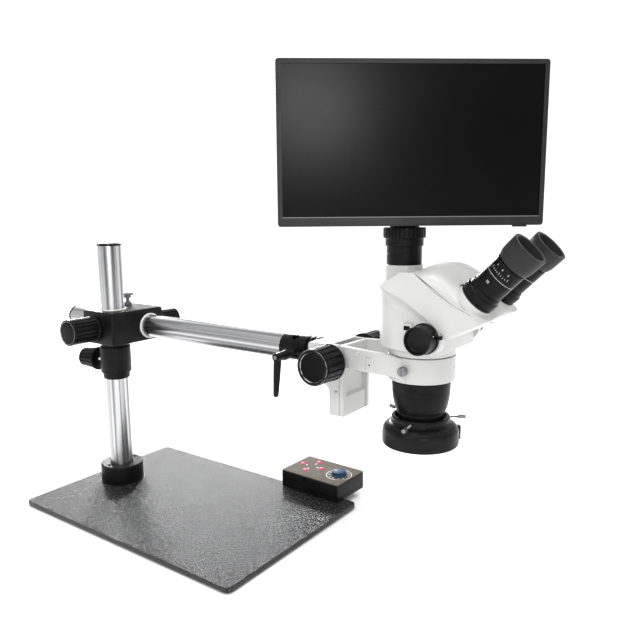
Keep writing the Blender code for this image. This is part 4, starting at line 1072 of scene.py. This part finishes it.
def nose_plan(half, front, rear, radius):
    """Return the head's plan with round nose corners."""
    points = [(half, rear), (-half, rear)]
    for start, x in ((180, -half + radius), (270, half - radius)):
        for k in range(13):
            angle = radians(start + 90 * k / 12)
            points.append((x + radius * cos(angle), front + radius + radius * sin(angle)))
    return points


def make_head():
    """Body casting: flared wedge, DRUM, flange and neck, rounded and drilled."""
    low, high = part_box("head_body")
    head = pivot("head_swivel")
    half = (high.x - low.x) / 2
    upper = [(-0.4475, 0.3250), (-0.4530, 0.3285), (-0.4730, 0.3405)]
    lower = [(-0.5240, 0.2792), (-0.5120, 0.2888), (-0.4990, 0.2984), (-0.4865, 0.3070), (-0.4740, 0.3145),
             (-0.4600, 0.3200)]
    outer = upper + seam_line() + lower
    fall = [0] * (len(upper) + len(seam_line())) + [0.002, 0.010] + [0.018] * 4
    steps = 6
    flare = [(DRUM + (half - DRUM) * (k / steps) ** 1.8, 1 - k / steps) for k in range(steps + 1)]
    sections = []
    for x, share in [(-x, s) for x, s in reversed(flare)] + flare:
        sections.append([(head.x + x, y, z - share * d) for (y, z), d in zip(outer, fall)])
    wedge = loft(sections)
    plan = nose_plan(half + 0.001, low.y, -0.43, NOSE_R)
    wedge = kept_inside(wedge, extruded([(head.x + x, y) for x, y in plan], *HEAD_SPAN))
    wedge = softened(wedge, 0.0022, 4, 24)

    outline = [(-DRUM + 0.008, -0.515), (DRUM - 0.008, -0.515), (DRUM - 0.002, -0.513), (DRUM, -0.507)]
    outline += [(DRUM * cos(pi * k / 48), head.y + DRUM * sin(pi * k / 48)) for k in range(49)]
    outline += [(-DRUM, -0.507), (-DRUM + 0.002, -0.513)]
    body = extruded([(head.x + x, y) for x, y in outline], 0.260, 0.325)
    top_cut = [(-0.540, 0.300), (-0.490, 0.325), (-0.490, 0.36), (-0.540, 0.36)]
    body = cut(body, extruded(top_cut, -0.05, 0.13, "X"))
    body = softened(body, 0.0012, 3, 40)
    neck = turned([(0, 40), (36.2, 40), (36.2, 27.9, 0.6), (32.7, 27.9, 0.2), (32.7, 0.6, 0.6),
                   (0, 0.6)])
    neck.transform(shift(head.x, head.y, RING_Z))
    body = joined(wedge, body, neck)
    spin = pivot("zoom_turn")
    for sign in (-1, 1):
        near = head.x + sign * (DRUM - 0.003)
        boss = turned([(0, 9), (17.4, 9, 0.8), (18.4, 0), (0, 0)])
        boss.transform(facing((near, spin.y, spin.z), (sign, 0, 0)))
        body = joined(body, boss)
    photo = centre("photo_tube")
    body = cut(body, rod((head.x - 0.08, spin.y, spin.z), (head.x + 0.08, spin.y, spin.z), 0.0036),
               rod((photo.x, photo.y, 0.3220), (photo.x, photo.y, 0.40), 0.0200, FINE))
    stand_for("head_body", body, ENAMEL, sharp=25)
    make_cover(head, half)
    make_head_details(head, spin)


def make_cover(head, half):
    """Top cover: crisp along the seam, rolled over at the sides, flat under the eyepieces."""
    nose_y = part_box("head_cover")[0].y - 0.0002
    rise = pivot("pupil_left").z - pivot("pupil_left").y - 0.0005
    seam = [(y - 0.0001, z + 0.0003) for y, z in seam_line()]
    crest = [(-0.4850, 0.3436), (-0.4900, 0.3464), (-0.4960, 0.3480), (-0.5030, 0.3478), (-0.5090, 0.3462),
             (-0.5150, 0.3427), (-0.5210, rise - 0.5210), (-0.5400, rise - 0.5400),
             (-0.5605, rise - 0.5605)]
    outline = seam[::-1] + crest
    count = len(seam)
    side = half - 0.0004
    power = 2.5
    steps = 30
    sections = []
    for k in range(steps + 1):
        angle = pi * (k / steps - 0.5)
        x = side * copysign(abs(sin(angle)) ** (2 / power), angle)
        drop = 0.019 * (1 - max(cos(angle), 0) ** (2 / power))
        section = []
        for i, (y, z) in enumerate(outline):
            if i < count:
                section.append((head.x + x, y, z))
                continue
            seam_z = seam_height(seam, y)
            section.append((head.x + x, y, max(z - drop, seam_z + (z - seam_z) * 0.10)))
        sections.append(section)
    cover = loft(sections)
    plan = nose_plan(half + 0.001, nose_y, -0.46, NOSE_R)
    cover = kept_inside(cover, extruded([(head.x + x, y) for x, y in plan], *HEAD_SPAN))
    for name in ("left", "right"):
        boss = turned([(0, 0), (19, 0, 0.5), (19.6, -8), (0, -8)])
        boss.transform(facing(pivot(f"pupil_{name}") - SLOPE * EYE_BACK, axis(f"pupil_{name}")))
        cover = joined(cover, boss)
    cover = softened(cover, 0.0006, 2, 35)
    for name in ("left", "right"):
        origin = pivot(f"pupil_{name}")
        way = axis(f"pupil_{name}")
        cover = cut(cover, rod(origin - way * 0.006, origin + way * 0.01, 0.0086))
    stand_for("head_cover", cover, ENAMEL, sharp=25)


def seam_height(seam, y):
    """Return the seam's height at a depth y."""
    for (y0, z0), (y1, z1) in zip(seam, seam[1:]):
        if y1 <= y <= y0:
            return z0 + (z1 - z0) * (y - y0) / (y1 - y0)
    return seam[0][1] if y > seam[0][0] else seam[-1][1]


def make_head_details(head, spin):
    """Magnification window beside each knob, and the slot under the nose."""
    window = slab((10.5, 8.6, 3), 1.4, 0.7)
    glass = slab((7, 4.6, 0.5), 0.4, 0.15)
    for name, sign in SIDES:
        place = facing((head.x + sign * DRUM, spin.y + 0.0215, spin.z + 0.0078), (sign, 0, 0))
        piece(f"scale_window_{name}", window.copy(), ENAMEL, "head", place, slot="white_enamel")
        piece(f"scale_glass_{name}", glass.copy(), GLOSS, "head",
              place @ shift(0, 0, 2.7 * MM), slot="black_anodised")
    slot_plate = slab((5, 3, 0.8), 0.6, 0.2)
    piece("nose_slot", slot_plate, BLACK, "head",
          facing((head.x - 0.0045, -0.5500, 0.2908), (0, -0.42, -0.91)), slot="cap_plastic")


def make_zoom():
    """Zoom knobs with a fine knurl, a dished end and a graduated collar, on their shaft."""
    spin = pivot("zoom_turn")
    half = (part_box("zoom_shaft")[1].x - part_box("zoom_shaft")[0].x) / 2 / MM - 8
    shaft = turned([(0, half), (3, half), (3, -half), (0, -half)], SMALL)
    stand_for("zoom_shaft", shaft, PLATED, facing(spin, (1, 0, 0)))
    for side, sign in SIDES:
        node = f"zoom_knob_{side}"
        low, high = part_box(node)
        inner = low.x if sign > 0 else high.x
        stations = [
            (0, 0), (0, 15.2), (0.4, 15.6), (2.4, 15.6), (2.9, 14.8), (3.2, 14.4), (3.5, 14.4, 0.22),
            (14.6, 14.2, 0.22), (15, 14.2), (16.9, 14.2), (17.7, 13.8), (18, 13.2), (17.8, 12.5),
            (16.6, 12), (14.6, 11.4), (13.6, 9), (13.3, 5), (13.2, 0),
        ]
        place = facing((inner, spin.y, spin.z), (sign, 0, 0))
        stand_for(node, fluted(stations, 90, 0.55, 4), BLACK, place)
        nub = softened(block((-0.0022, -0.0026, -0.0018), (0.0022, 0.0030, 0.0018)), 0.0006, 3)
        piece(f"zoom_pointer_{side}", nub, BLACK, "zoom",
              shift(inner + sign * 0.0030, spin.y - 0.0172, spin.z + 0.0030), slot="knob_plastic")
        marks = []
        for i, words in enumerate(("0.7", "1", "1.5", "2", "3", "4", "4.5")):
            angle = radians(20 + 47 * i)
            marks.append(placed(digits(words, 1.7), place @ on_cylinder(14.5, angle, 9.2)
                                @ Matrix.Rotation(QUARTER_TURN, 4, "Z")))
        piece(f"zoom_marks_{side}", gathered(marks), INK, "zoom", slot="nylon")


def make_objective():
    """Objective housing with its steps, front lens and retaining ring."""
    low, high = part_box("objective_housing")
    place = shift(centre("objective_housing").x, centre("objective_housing").y, low.z)
    height = (high.z - low.z) / MM
    housing = turned([
        (0, height), (32, height), (32, height - 1.8, 0.3), (31.4, 54), (31.3, 50), (30.6, 43), (29, 34),
        (27.4, 29), (25.8, 26.4, 0.5), (25.8, 25.2, 0.3), (24.6, 25, 0.2), (24.6, 5.5, 0.2),
        (23.8, 5, 0.2), (23.8, 0, 0.6), (21, 0, 0.3), (20.3, 1.6), (20.3, 10), (0, 10),
    ])
    stand_for("objective_housing", housing, ANODISED, place, sharp=25)
    low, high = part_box("objective_lens")
    radius = (high.x - low.x) / 2 / MM
    depth = (high.z - low.z) / MM
    lens = turned([(0, depth), (radius, depth), (radius, 1.9),
                   (0.8 * radius, 0.8), (0.4 * radius, 0.15), (0, 0)])
    place = shift(centre("objective_lens").x, centre("objective_lens").y, low.z)
    stand_for("objective_lens", lens, GLASS, place)
    ring = turned([(18.6, 1.6, 0.2), (20, 1.6), (20, -0.6, 0.2), (19.2, -0.6, 0.2)])
    piece("lens_retainer", ring, ANODISED, "head", place, slot="black_anodised")


# ---------------------------------------------------------------- eyepieces


def make_eyepieces():
    """Tube bases, barrels with their scale, rubber cups and lenses."""
    for side, sign in SIDES:
        origin = pivot(f"pupil_{side}")
        out = axis(f"pupil_{side}")
        turn = Matrix((Vector((1, 0, 0)), SLOPE, out)).transposed().to_4x4()
        place = Matrix.Translation(origin - SLOPE * EYE_BACK) @ turn
        base = turned([
            (10, 15), (15.9, 15, 0.2), (15.9, 14.4, 0.2), (16.6, 14.2, 0.4), (17.2, 10.6, 0.5),
            (18.5, 9.8, 0.6), (18.5, 3.6, 0.5), (17.6, 3, 0.2), (17.6, 1.8, 0.2), (17.9, 1.4, 0.2),
            (17.9, 0.2, 0.2), (10, 0.2),
        ])
        stand_for(f"eye_tube_{side}", base, ANODISED, place)
        barrel = turned([
            (12.5, 60), (14.8, 60, 0.2), (14.8, 47.2, 0.2), (16, 46.8, 0.4), (16, 31.6, 0.15),
            (15.8, 31.4, 0.1), (15.8, 30.8, 0.1), (16, 30.6, 0.15), (16, 16.4, 0.3), (15.6, 15.3),
            (12.5, 15.3),
        ])
        stand_for(f"eyepiece_{side}", barrel, ANODISED, place)
        make_eyepiece_marks(side, sign, place)
        cup = turned([
            (15.4, 70, 0.2), (17.6, 70.3, 0.2), (18.2, 70.5, 0.25), (18.35, 69.8, 0.3), (18.25, 60, 2),
            (18, 54, 1.2), (17, 50, 1), (16.4, 48.6, 0.3), (15.1, 48.6), (15.1, 60.3), (13.4, 60.3, 0.3),
            (13.4, 61.6, 0.3), (15, 62.4, 0.8), (15.2, 66),
        ])
        stand_for(f"eyecup_{side}", cup, RUBBER, place)
        rim = turned([(13.5, 62.2, 0.1), (13.5, 61.4), (11.9, 59.6), (11.9, 60.2)])
        piece(f"lens_ring_{side}", rim, ANODISED, f"cup_{side}", place, slot="black_anodised")
        lens = turned([(0, 59.4), (4, 59.25), (8, 58.8), (12.2, 57.8, 0.2), (12.2, 54.5),
                       (0, 54.5)])
        stand_for(f"eye_lens_{side}", lens, GLASS, place)


def make_eyepiece_marks(side, sign, place):
    """White line, ticks and generic numbers round a barrel, towards the outer side."""
    facing_out = radians(0 if sign > 0 else 180)
    marks = [turned([(16.06, 33), (16.06, 32.75), (15.95, 32.75), (15.95, 33)])]
    for i in range(9):
        angle = facing_out + radians(-36 + 9 * i)
        length = 2.4 if i % 4 == 0 else 1.3
        marks.append(placed(dash(0.28, length), on_cylinder(16, angle, 37 + length / 2)))
    for offset, height, words, size in ((-26, 42.6, "5", 2.4), (0, 42.6, "0", 2.4), (26, 42.6, "5", 2.4),
                                        (-8, 25, "10", 3.6)):
        angle = facing_out + radians(offset)
        marks.append(placed(digits(words, size), on_cylinder(16.02, angle, height)))
    piece(f"eyepiece_marks_{side}", gathered(marks), INK, f"eye_{side}", place, slot="nylon")


# ---------------------------------------------------------------- camera and monitor


def make_camera():
    """Photo tube and camera adapter with its ribbed clamp ring."""
    low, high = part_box("photo_tube")
    spot = centre("photo_tube")
    height = (high.z - low.z) / MM
    place = shift(spot.x, spot.y, low.z)
    tube = turned([(15.2, height, 0.3), (19.8, height, 1), (19.8, 0), (15.2, 0)])
    stand_for("photo_tube", tube, ENAMEL, place)
    low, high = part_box("camera_adapter")
    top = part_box("photo_tube")[1].z
    place = shift(spot.x, spot.y, top)
    lower = (top - low.z) / MM
    upper = (high.z - top) / MM
    body = turned([
        (12, upper, 0.2), (15.5, upper, 0.3), (15.5, 38.9), (20.6, 38.9, 0.3), (20.6, 28),
        (21, 27.6, 0.3), (20.2, 27, 0.3), (20.2, 20.2, 0.5), (19.6, 19.4, 0.3), (18.7, 19.2, 0.2),
        (18.7, 12.2, 0.1), (18.55, 12, 0.1), (18.55, 11.6, 0.1), (18.7, 11.4, 0.1), (18.7, 0.3, 0.4),
        (14.9, 0.3), (14.9, -lower), (12, -lower),
    ])
    stand_for("camera_adapter", body, ANODISED, place)
    ribs = fluted([(38.9, 20.4), (38.9, 21.6), (38.5, 22.4, 0.3), (37.6, 22.5, 1.1),
                   (29.6, 22.5, 1.1), (28.4, 22.2, 0.6), (27.9, 21.4),
                   (27.9, 20.4)], 32, 0.5, 8)
    piece("adapter_grip", ribs, BLACK, "monitor", place, slot="black_anodised")


def make_monitor():
    """Monitor: back shell with vents, camera module, bezel, screen and menu key."""
    spot = centre("photo_tube")
    turn = radians(-51.8)
    place = shift(spot.x, spot.y, 0) @ Matrix.Rotation(turn, 4, "Z")
    width = 0.2665
    bottom = 0.3853
    height = 0.1593
    front = -0.040
    split = front + 0.005
    back = front + 0.018
    middle_z = bottom + height / 2
    shell = slab((width / MM, height / MM, (back - split) / MM - 0.3), 3, 2)
    shell.transform(shift(0, 0, middle_z) @ Matrix.Rotation(QUARTER_TURN, 4, "X")
                    @ shift(0, 0, -back))
    module = slab((58, 48, 56), 4, 1.5)
    module.transform(shift(0, 0, bottom + 0.0013))
    shell = joined(shell, module)
    shell = cut(shell, rod((0, 0, bottom - 0.01), (0, 0, bottom + 0.0045), 0.0158, FINE))
    port_step = 0.014
    vents = []
    for row in (-1, 1):
        for i in range(12):
            x = row * (0.062 + 0.0042 * i)
            vents.append(block((x - 0.0009, back - 0.0012, middle_z + 0.012),
                               (x + 0.0009, back + 0.002, middle_z + 0.044)))
    ports = [block((-0.020 + port_step * i, 0.020, bottom + 0.030),
                   (-0.010 + port_step * i, 0.030, bottom + 0.0345)) for i in range(3)]
    shell = cut(shell, gathered(vents), *ports)
    stand_for("monitor_back", shell, HOUSING, place)

    screen_width = 0.2568
    screen_height = 0.1450
    side = (width - screen_width) / 2
    screen_top = bottom + height - 0.0048
    screen_low = screen_top - screen_height
    rim = slab((width / MM, height / MM, (split - front) / MM), 3, 1)
    rim.transform(shift(0, 0, middle_z) @ Matrix.Rotation(QUARTER_TURN, 4, "X")
                  @ shift(0, 0, -split))
    half = width / 2
    window = block((-half + side, front - 0.01, screen_low), (half - side, split + 0.01, screen_top))
    rim = cut(rim, window)
    stand_for("monitor_bezel", rim, HOUSING, place)
    panel = block((-half + side - 0.001, front + 0.0012, screen_low - 0.001),
                  (half - side + 0.001, split - 0.0004, screen_top + 0.001))
    stand_for("lcd_panel", panel, SCREEN, place)
    line = block((-half + side, front - 0.0002, screen_low - 0.0009),
                 (half - side, front + 0.0012, screen_low - 0.0001))
    piece("bezel_line", line, print_ink("bezel_line_tone", 0.16), "monitor", place, slot="housing_plastic")
    key = slab((15, 2.6, 2.2), 1, 0.5)
    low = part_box("monitor_button")[0]
    key.transform(shift(0.110, (front + split) / 2 + 0.0006, low.z))
    stand_for("monitor_button", key, HOUSING, place)


# ---------------------------------------------------------------- ring light


def make_ring_light():
    """Ring light housing, lamp beads, diffuser, clamp screws and cable outlet."""
    low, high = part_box("ring_light_housing")
    spot = centre("ring_light_housing")
    place = shift(spot.x, spot.y, low.z)
    height = (high.z - low.z) / MM
    housing = turned([
        (28, height, 0.4), (30.6, height, 0.5), (31.6, height - 1.2, 0.5), (31.6, 28.2, 0.3),
        (32, 27.6, 0.2), (32, 26.8, 0.2), (31.6, 26.4, 0.2), (31.8, 25.6, 0.4), (34.6, 24.6, 0.4),
        (35.2, 24.7, 0.2), (35.8, 24.3, 0.3), (38.8, 22.4, 1.8), (41.2, 18.6, 2.4), (41.7, 13, 1.5),
        (41.7, 3.4, 0.9), (40.9, 2, 0.6), (40.2, 2), (40.2, 5), (29.5, 5), (29.5, 2, 0.2), (28, 2, 0.4),
    ], 144)
    stand_for("ring_light_housing", housing, BLACK, place, sharp=25)
    ring = turned([(29.8, 4.4), (39.9, 4.4), (39.9, 2.8, 0.3), (29.8, 2.8, 0.3)])
    stand_for("ring_light_diffuser", ring, FROST, place)
    beads = []
    per_row = 36
    for row, radius in enumerate((32.2, 35, 37.8)):
        for i in range(per_row):
            angle = 2 * pi * (i + 0.5 * (row % 2)) / per_row
            bead = turned([(0, 0), (1.1, 0), (1, -0.6, 0.3), (0, -0.9)], 12)
            bead.transform(shift(radius * MM * cos(angle), radius * MM * sin(angle), 4.95 * MM))
            beads.append(bead)
    piece("lamp_beads", gathered(beads), BEAD, "light", place, slot="frosted_ring")
    outlet = slab((7, 3.6, 15), 0.9, 0.5)
    angle = radians(-50)
    piece("light_outlet", outlet, BLACK, "light",
          place @ on_cylinder(42.6, angle, 11.5) @ Matrix.Rotation(QUARTER_TURN, 4, "X")
          @ shift(0, 0, -7.5 * MM), slot="housing_plastic")
    for number in (1, 2, 3):
        name = f"ring_light_screw_{number}"
        joint = f"light_screw_{number}_turn"
        tip = facing(pivot(joint), axis(joint))
        reach = (pivot(joint) - Vector((spot.x, spot.y, pivot(joint).z))).length / MM - 24.9
        head = fluted([(0, 0), (0, 1.6), (-0.4, 2.1), (-0.6, 2.1, 0.14),
                       (-7.9, 2.1, 0.14), (-8.2, 2), (-8.6, 1.6),
                       (-8.6, 0)], 18, 0.5, 4)
        stand_for(name, head, DULL, tip)
        stem = turned(thread(1.05, -8.5, -reach, 0.5), 24)
        piece(name + "_stem", stem, DULL, f"light_screw_{number}", tip, slot="screw_steel", sharp=60)


# ---------------------------------------------------------------- control box


def in_box(point, middle, back):
    """Return a point's place in the control box's own plan."""
    return back @ (Vector((point.x, point.y, 0)) - Vector((middle.x, middle.y, 0)))


def well_tool(spot, floor, radius):
    """Return the cutter of a round well with its floor at a height in the box."""
    return rod(spot + Vector((0, 0, floor)), spot + Vector((0, 0, 0.04)), radius)


def make_control_box():
    """Control box: two-part case, printed film, buttons with arrows, graduated dial, socket."""
    button = [centre(f"control_button_{i}") for i in (1, 2, 3, 4)]
    dial = pivot("dial_turn")
    turn = atan2((button[0] - button[3]).y, (button[0] - button[3]).x) - pi / 2
    spin = Matrix.Rotation(turn, 4, "Z")
    low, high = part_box("control_box")
    middle = (low + high) / 2
    size = Vector((64.5, 98.5, (high.z - low.z) / MM))
    place = shift(middle.x, middle.y, low.z) @ spin
    case = slab(size, 1.6, 0.8)
    seam_z = 5.5
    rim = [(x * MM, y * MM) for x, y in rounded_outline(size.x / 2 + 1, size.y / 2 + 1, 2)]
    inner = [(x * MM, y * MM) for x, y in rounded_outline(size.x / 2 - 0.4, size.y / 2 - 0.4, 1.4)]
    groove = cut(extruded(rim, seam_z * MM, (seam_z + 0.5) * MM), extruded(inner, 0, 0.02))
    case = cut(case, groove)
    back = spin.inverted()
    wells = [well_tool(in_box(spot, middle, back), 0.018, 0.0040) for spot in button]
    wells.append(well_tool(in_box(dial, middle, back), 0.014, 0.0034))
    socket = in_box(centre("control_socket"), middle, back)
    socket_z = centre("control_socket").z - low.z
    wall = size.x / 2 * MM
    case = cut(case, rod((wall - 0.006, socket.y, socket_z), (wall + 0.01, socket.y, socket_z), 0.0033))
    for well in wells:
        case = cut(case, well.copy())
    stand_for("control_box", case, BLACK, place)
    panel_low, panel_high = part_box("control_panel")
    film = slab((64.1, 98.1, (panel_high.z - panel_low.z) / MM), 1.6, 0.5)
    for well in wells:
        film = cut(film, placed(well, shift(0, 0, low.z - panel_low.z)))
    film_place = shift(middle.x, middle.y, panel_low.z) @ spin
    stand_for("control_panel", film, FILM, film_place)

    top = panel_high.z
    for i, spot in enumerate(button, start=1):
        dome = turned([(0, 2.2), (1.4, 2.1), (2.6, 1.5), (3.3, 0.7), (3.6, 0.2, 0.2),
                       (3.6, -5), (0, -5)], SMALL)
        stand_for(f"control_button_{i}", dome, PINK, shift(spot.x, spot.y, top))
    hub = sum(button, Vector()) / 4
    arrows = []
    for spot in button:
        way = hub - spot
        angle = atan2(way.y, way.x)
        at = spot + way * 0.42
        arrow = extruded([(0.0022, 0), (0, 0.0016), (0, 0.0006), (-0.0020, 0.0006),
                          (-0.0020, -0.0006), (0, -0.0006), (0, -0.0016)], 0, 0.00006)
        arrow.transform(shift(at.x, at.y, top) @ Matrix.Rotation(angle + pi, 4, "Z"))
        arrows.append(arrow)
    piece("button_arrows", gathered(arrows), INK, "base", slot="nylon")
    make_dial(dial, top, spin, place, socket, socket_z, size)


def make_dial(dial, top, spin, place, socket, socket_z, size):
    """Dimmer dial in its printed scale, and the supply socket in the box's side."""
    knob = fluted([(6, 0), (6, 8.4), (5.6, 9.3, 0.2), (1.6, 10.1, 0.5), (1.2, 10.5),
                   (0.3, 10.7), (0.3, 0)], 24, 0.5, 8)
    place_dial = shift(dial.x, dial.y, top) @ spin
    stand_for("brightness_dial", knob, BLUE, place_dial)
    pointer = placed(dash(0.8, 5), shift(0, 5.4 * MM, 6 * MM))
    piece("dial_pointer", pointer, INK, "dial", place_dial, slot="nylon")
    ring = [turned([(17.4, 0.06), (18.2, 0.06), (18.2, 0), (17.4, 0)])]
    for i in range(11):
        length = 3.4 if i % 5 == 0 else 2.2
        ring.append(placed(dash(0.8, length), Matrix.Rotation(radians(-150 + 30 * i), 4, "Z")
                           @ shift(0, 14 * MM, 0.03 * MM)))
    piece("dial_scale", gathered(ring), INK, "base", place_dial, slot="nylon")
    shell = turned([(1.2, 4.5, 0.1), (2.6, 4.5, 0.3), (3, 4, 0.3), (3, -5.5), (1.2, -5.5)], SMALL)
    at = place @ Vector((size.x / 2 * MM, socket.y, socket_z))
    stand_for("control_socket", shell, BLACK, facing(at, spin.to_3x3() @ Vector((1, 0, 0))))


# ---------------------------------------------------------------- studio


def make_world():
    """White surroundings, brighter behind the object than in front of it."""
    world = bpy.data.worlds.new("studio")
    bpy.context.scene.world = world
    world.use_nodes = True
    tree = world.node_tree
    place = tree.nodes.new("ShaderNodeTexCoord")
    across = tree.nodes.new("ShaderNodeVectorMath")
    across.operation = "DOT_PRODUCT"
    across.inputs[1].default_value = (0.81, 0.58, 0)
    upward = tree.nodes.new("ShaderNodeVectorMath")
    upward.operation = "DOT_PRODUCT"
    upward.inputs[1].default_value = (0, 0, 1)
    tree.links.new(place.outputs["Generated"], across.inputs[0])
    tree.links.new(place.outputs["Generated"], upward.inputs[0])
    level = spread(tree, across.outputs["Value"], 0.42, 0.84, -0.6, 0.25)
    ahead = spread(tree, across.outputs["Value"], 0, 1, 0.40, 0.75)
    ramp = tree.nodes.new("ShaderNodeValToRGB")
    ramp.color_ramp.elements[0].position = 0.29
    ramp.color_ramp.elements[0].color = (1, 1, 1, 1)
    ramp.color_ramp.elements[1].position = 0.75
    ramp.color_ramp.elements[1].color = (0.70, 0.70, 0.70, 1)
    for height in (0.35, 0.62):
        band = ramp.color_ramp.elements.new(height)
        band.color = (0.40, 0.40, 0.40, 1)
    tree.links.new(upward.outputs["Value"], ramp.inputs["Fac"])
    mixed = tree.nodes.new("ShaderNodeMix")
    mixed.data_type = "FLOAT"
    tree.links.new(ahead, mixed.inputs[0])
    tree.links.new(level, mixed.inputs[2])
    tree.links.new(ramp.outputs["Color"], mixed.inputs[3])
    background = tree.nodes["Background"]
    background.inputs["Strength"].default_value = 1.25
    tree.links.new(mixed.outputs[0], background.inputs["Color"])


def make_studio():
    """Pale floor, surroundings, lamps and the camera."""
    floor_mesh = block((-20, -20, -0.02), (20, 20, -0.0002))
    floor = bpy.data.objects.new("floor", floor_mesh)
    bpy.context.scene.collection.objects.link(floor)
    floor_mesh.materials.append(studio_floor())

    make_world()
    make_lamps()
    make_viewpoint()
    bpy.context.scene.view_settings.view_transform = "Standard"


def make_lamps():
    """Five soft lamps aimed at the object, and a wide sun for the floor."""
    target = Vector((0, -0.30, 0.25))
    for name, spot, size, power in (
        ("overhead", (-0.3, -0.3, 2), 0.5, 4),
        ("side", (-1.9, -0.3, 1.3), 0.4, 8),
        ("plate_sheen_right", (1.79, 1.26, 1.16), 0.36, 42),
        ("plate_sheen_left", (1.18, 1.97, 1.06), 0.30, 22),
        ("screen_glow", (-2.07, -2.09, 0.90), 0.4, 14),
    ):
        lamp = bpy.data.lights.new(name, "AREA")
        lamp.size = size
        lamp.energy = power
        obj = bpy.data.objects.new(name, lamp)
        bpy.context.scene.collection.objects.link(obj)
        obj.location = spot
        obj.rotation_euler = (target - Vector(spot)).to_track_quat("-Z", "Y").to_euler()

    sky = bpy.data.lights.new("sky", "SUN")
    sky.energy = 1.6
    sky.angle = radians(55)
    obj = bpy.data.objects.new("sky", sky)
    bpy.context.scene.collection.objects.link(obj)
    obj.rotation_euler = Vector((0.22, 0.16, -1)).to_track_quat("-Z", "Y").to_euler()


def make_viewpoint():
    """The camera, level but for a slight roll, looking a little down."""
    camera = bpy.data.cameras.new("camera")
    camera.sensor_width = 36
    camera.lens = 36.96
    camera.clip_start = 0.01
    camera.clip_end = 50
    obj = bpy.data.objects.new("camera", camera)
    bpy.context.scene.collection.objects.link(obj)
    yaw = radians(35.54)
    pitch = radians(9.61)
    roll = radians(0.41)
    look = Vector((cos(yaw) * cos(pitch), sin(yaw) * cos(pitch), -sin(pitch)))
    turn = look.to_track_quat("-Z", "Y").to_matrix().to_4x4() @ Matrix.Rotation(-roll, 4, "Z")
    obj.matrix_world = shift(-0.5863, -0.7839, 0.4029) @ turn
    bpy.context.scene.camera = obj


make_base()
make_carriage()
make_arm()
make_focus_unit()
make_bracket()
make_head()
make_zoom()
make_objective()
make_eyepieces()
make_camera()
make_monitor()
make_ring_light()
make_control_box()
make_studio()
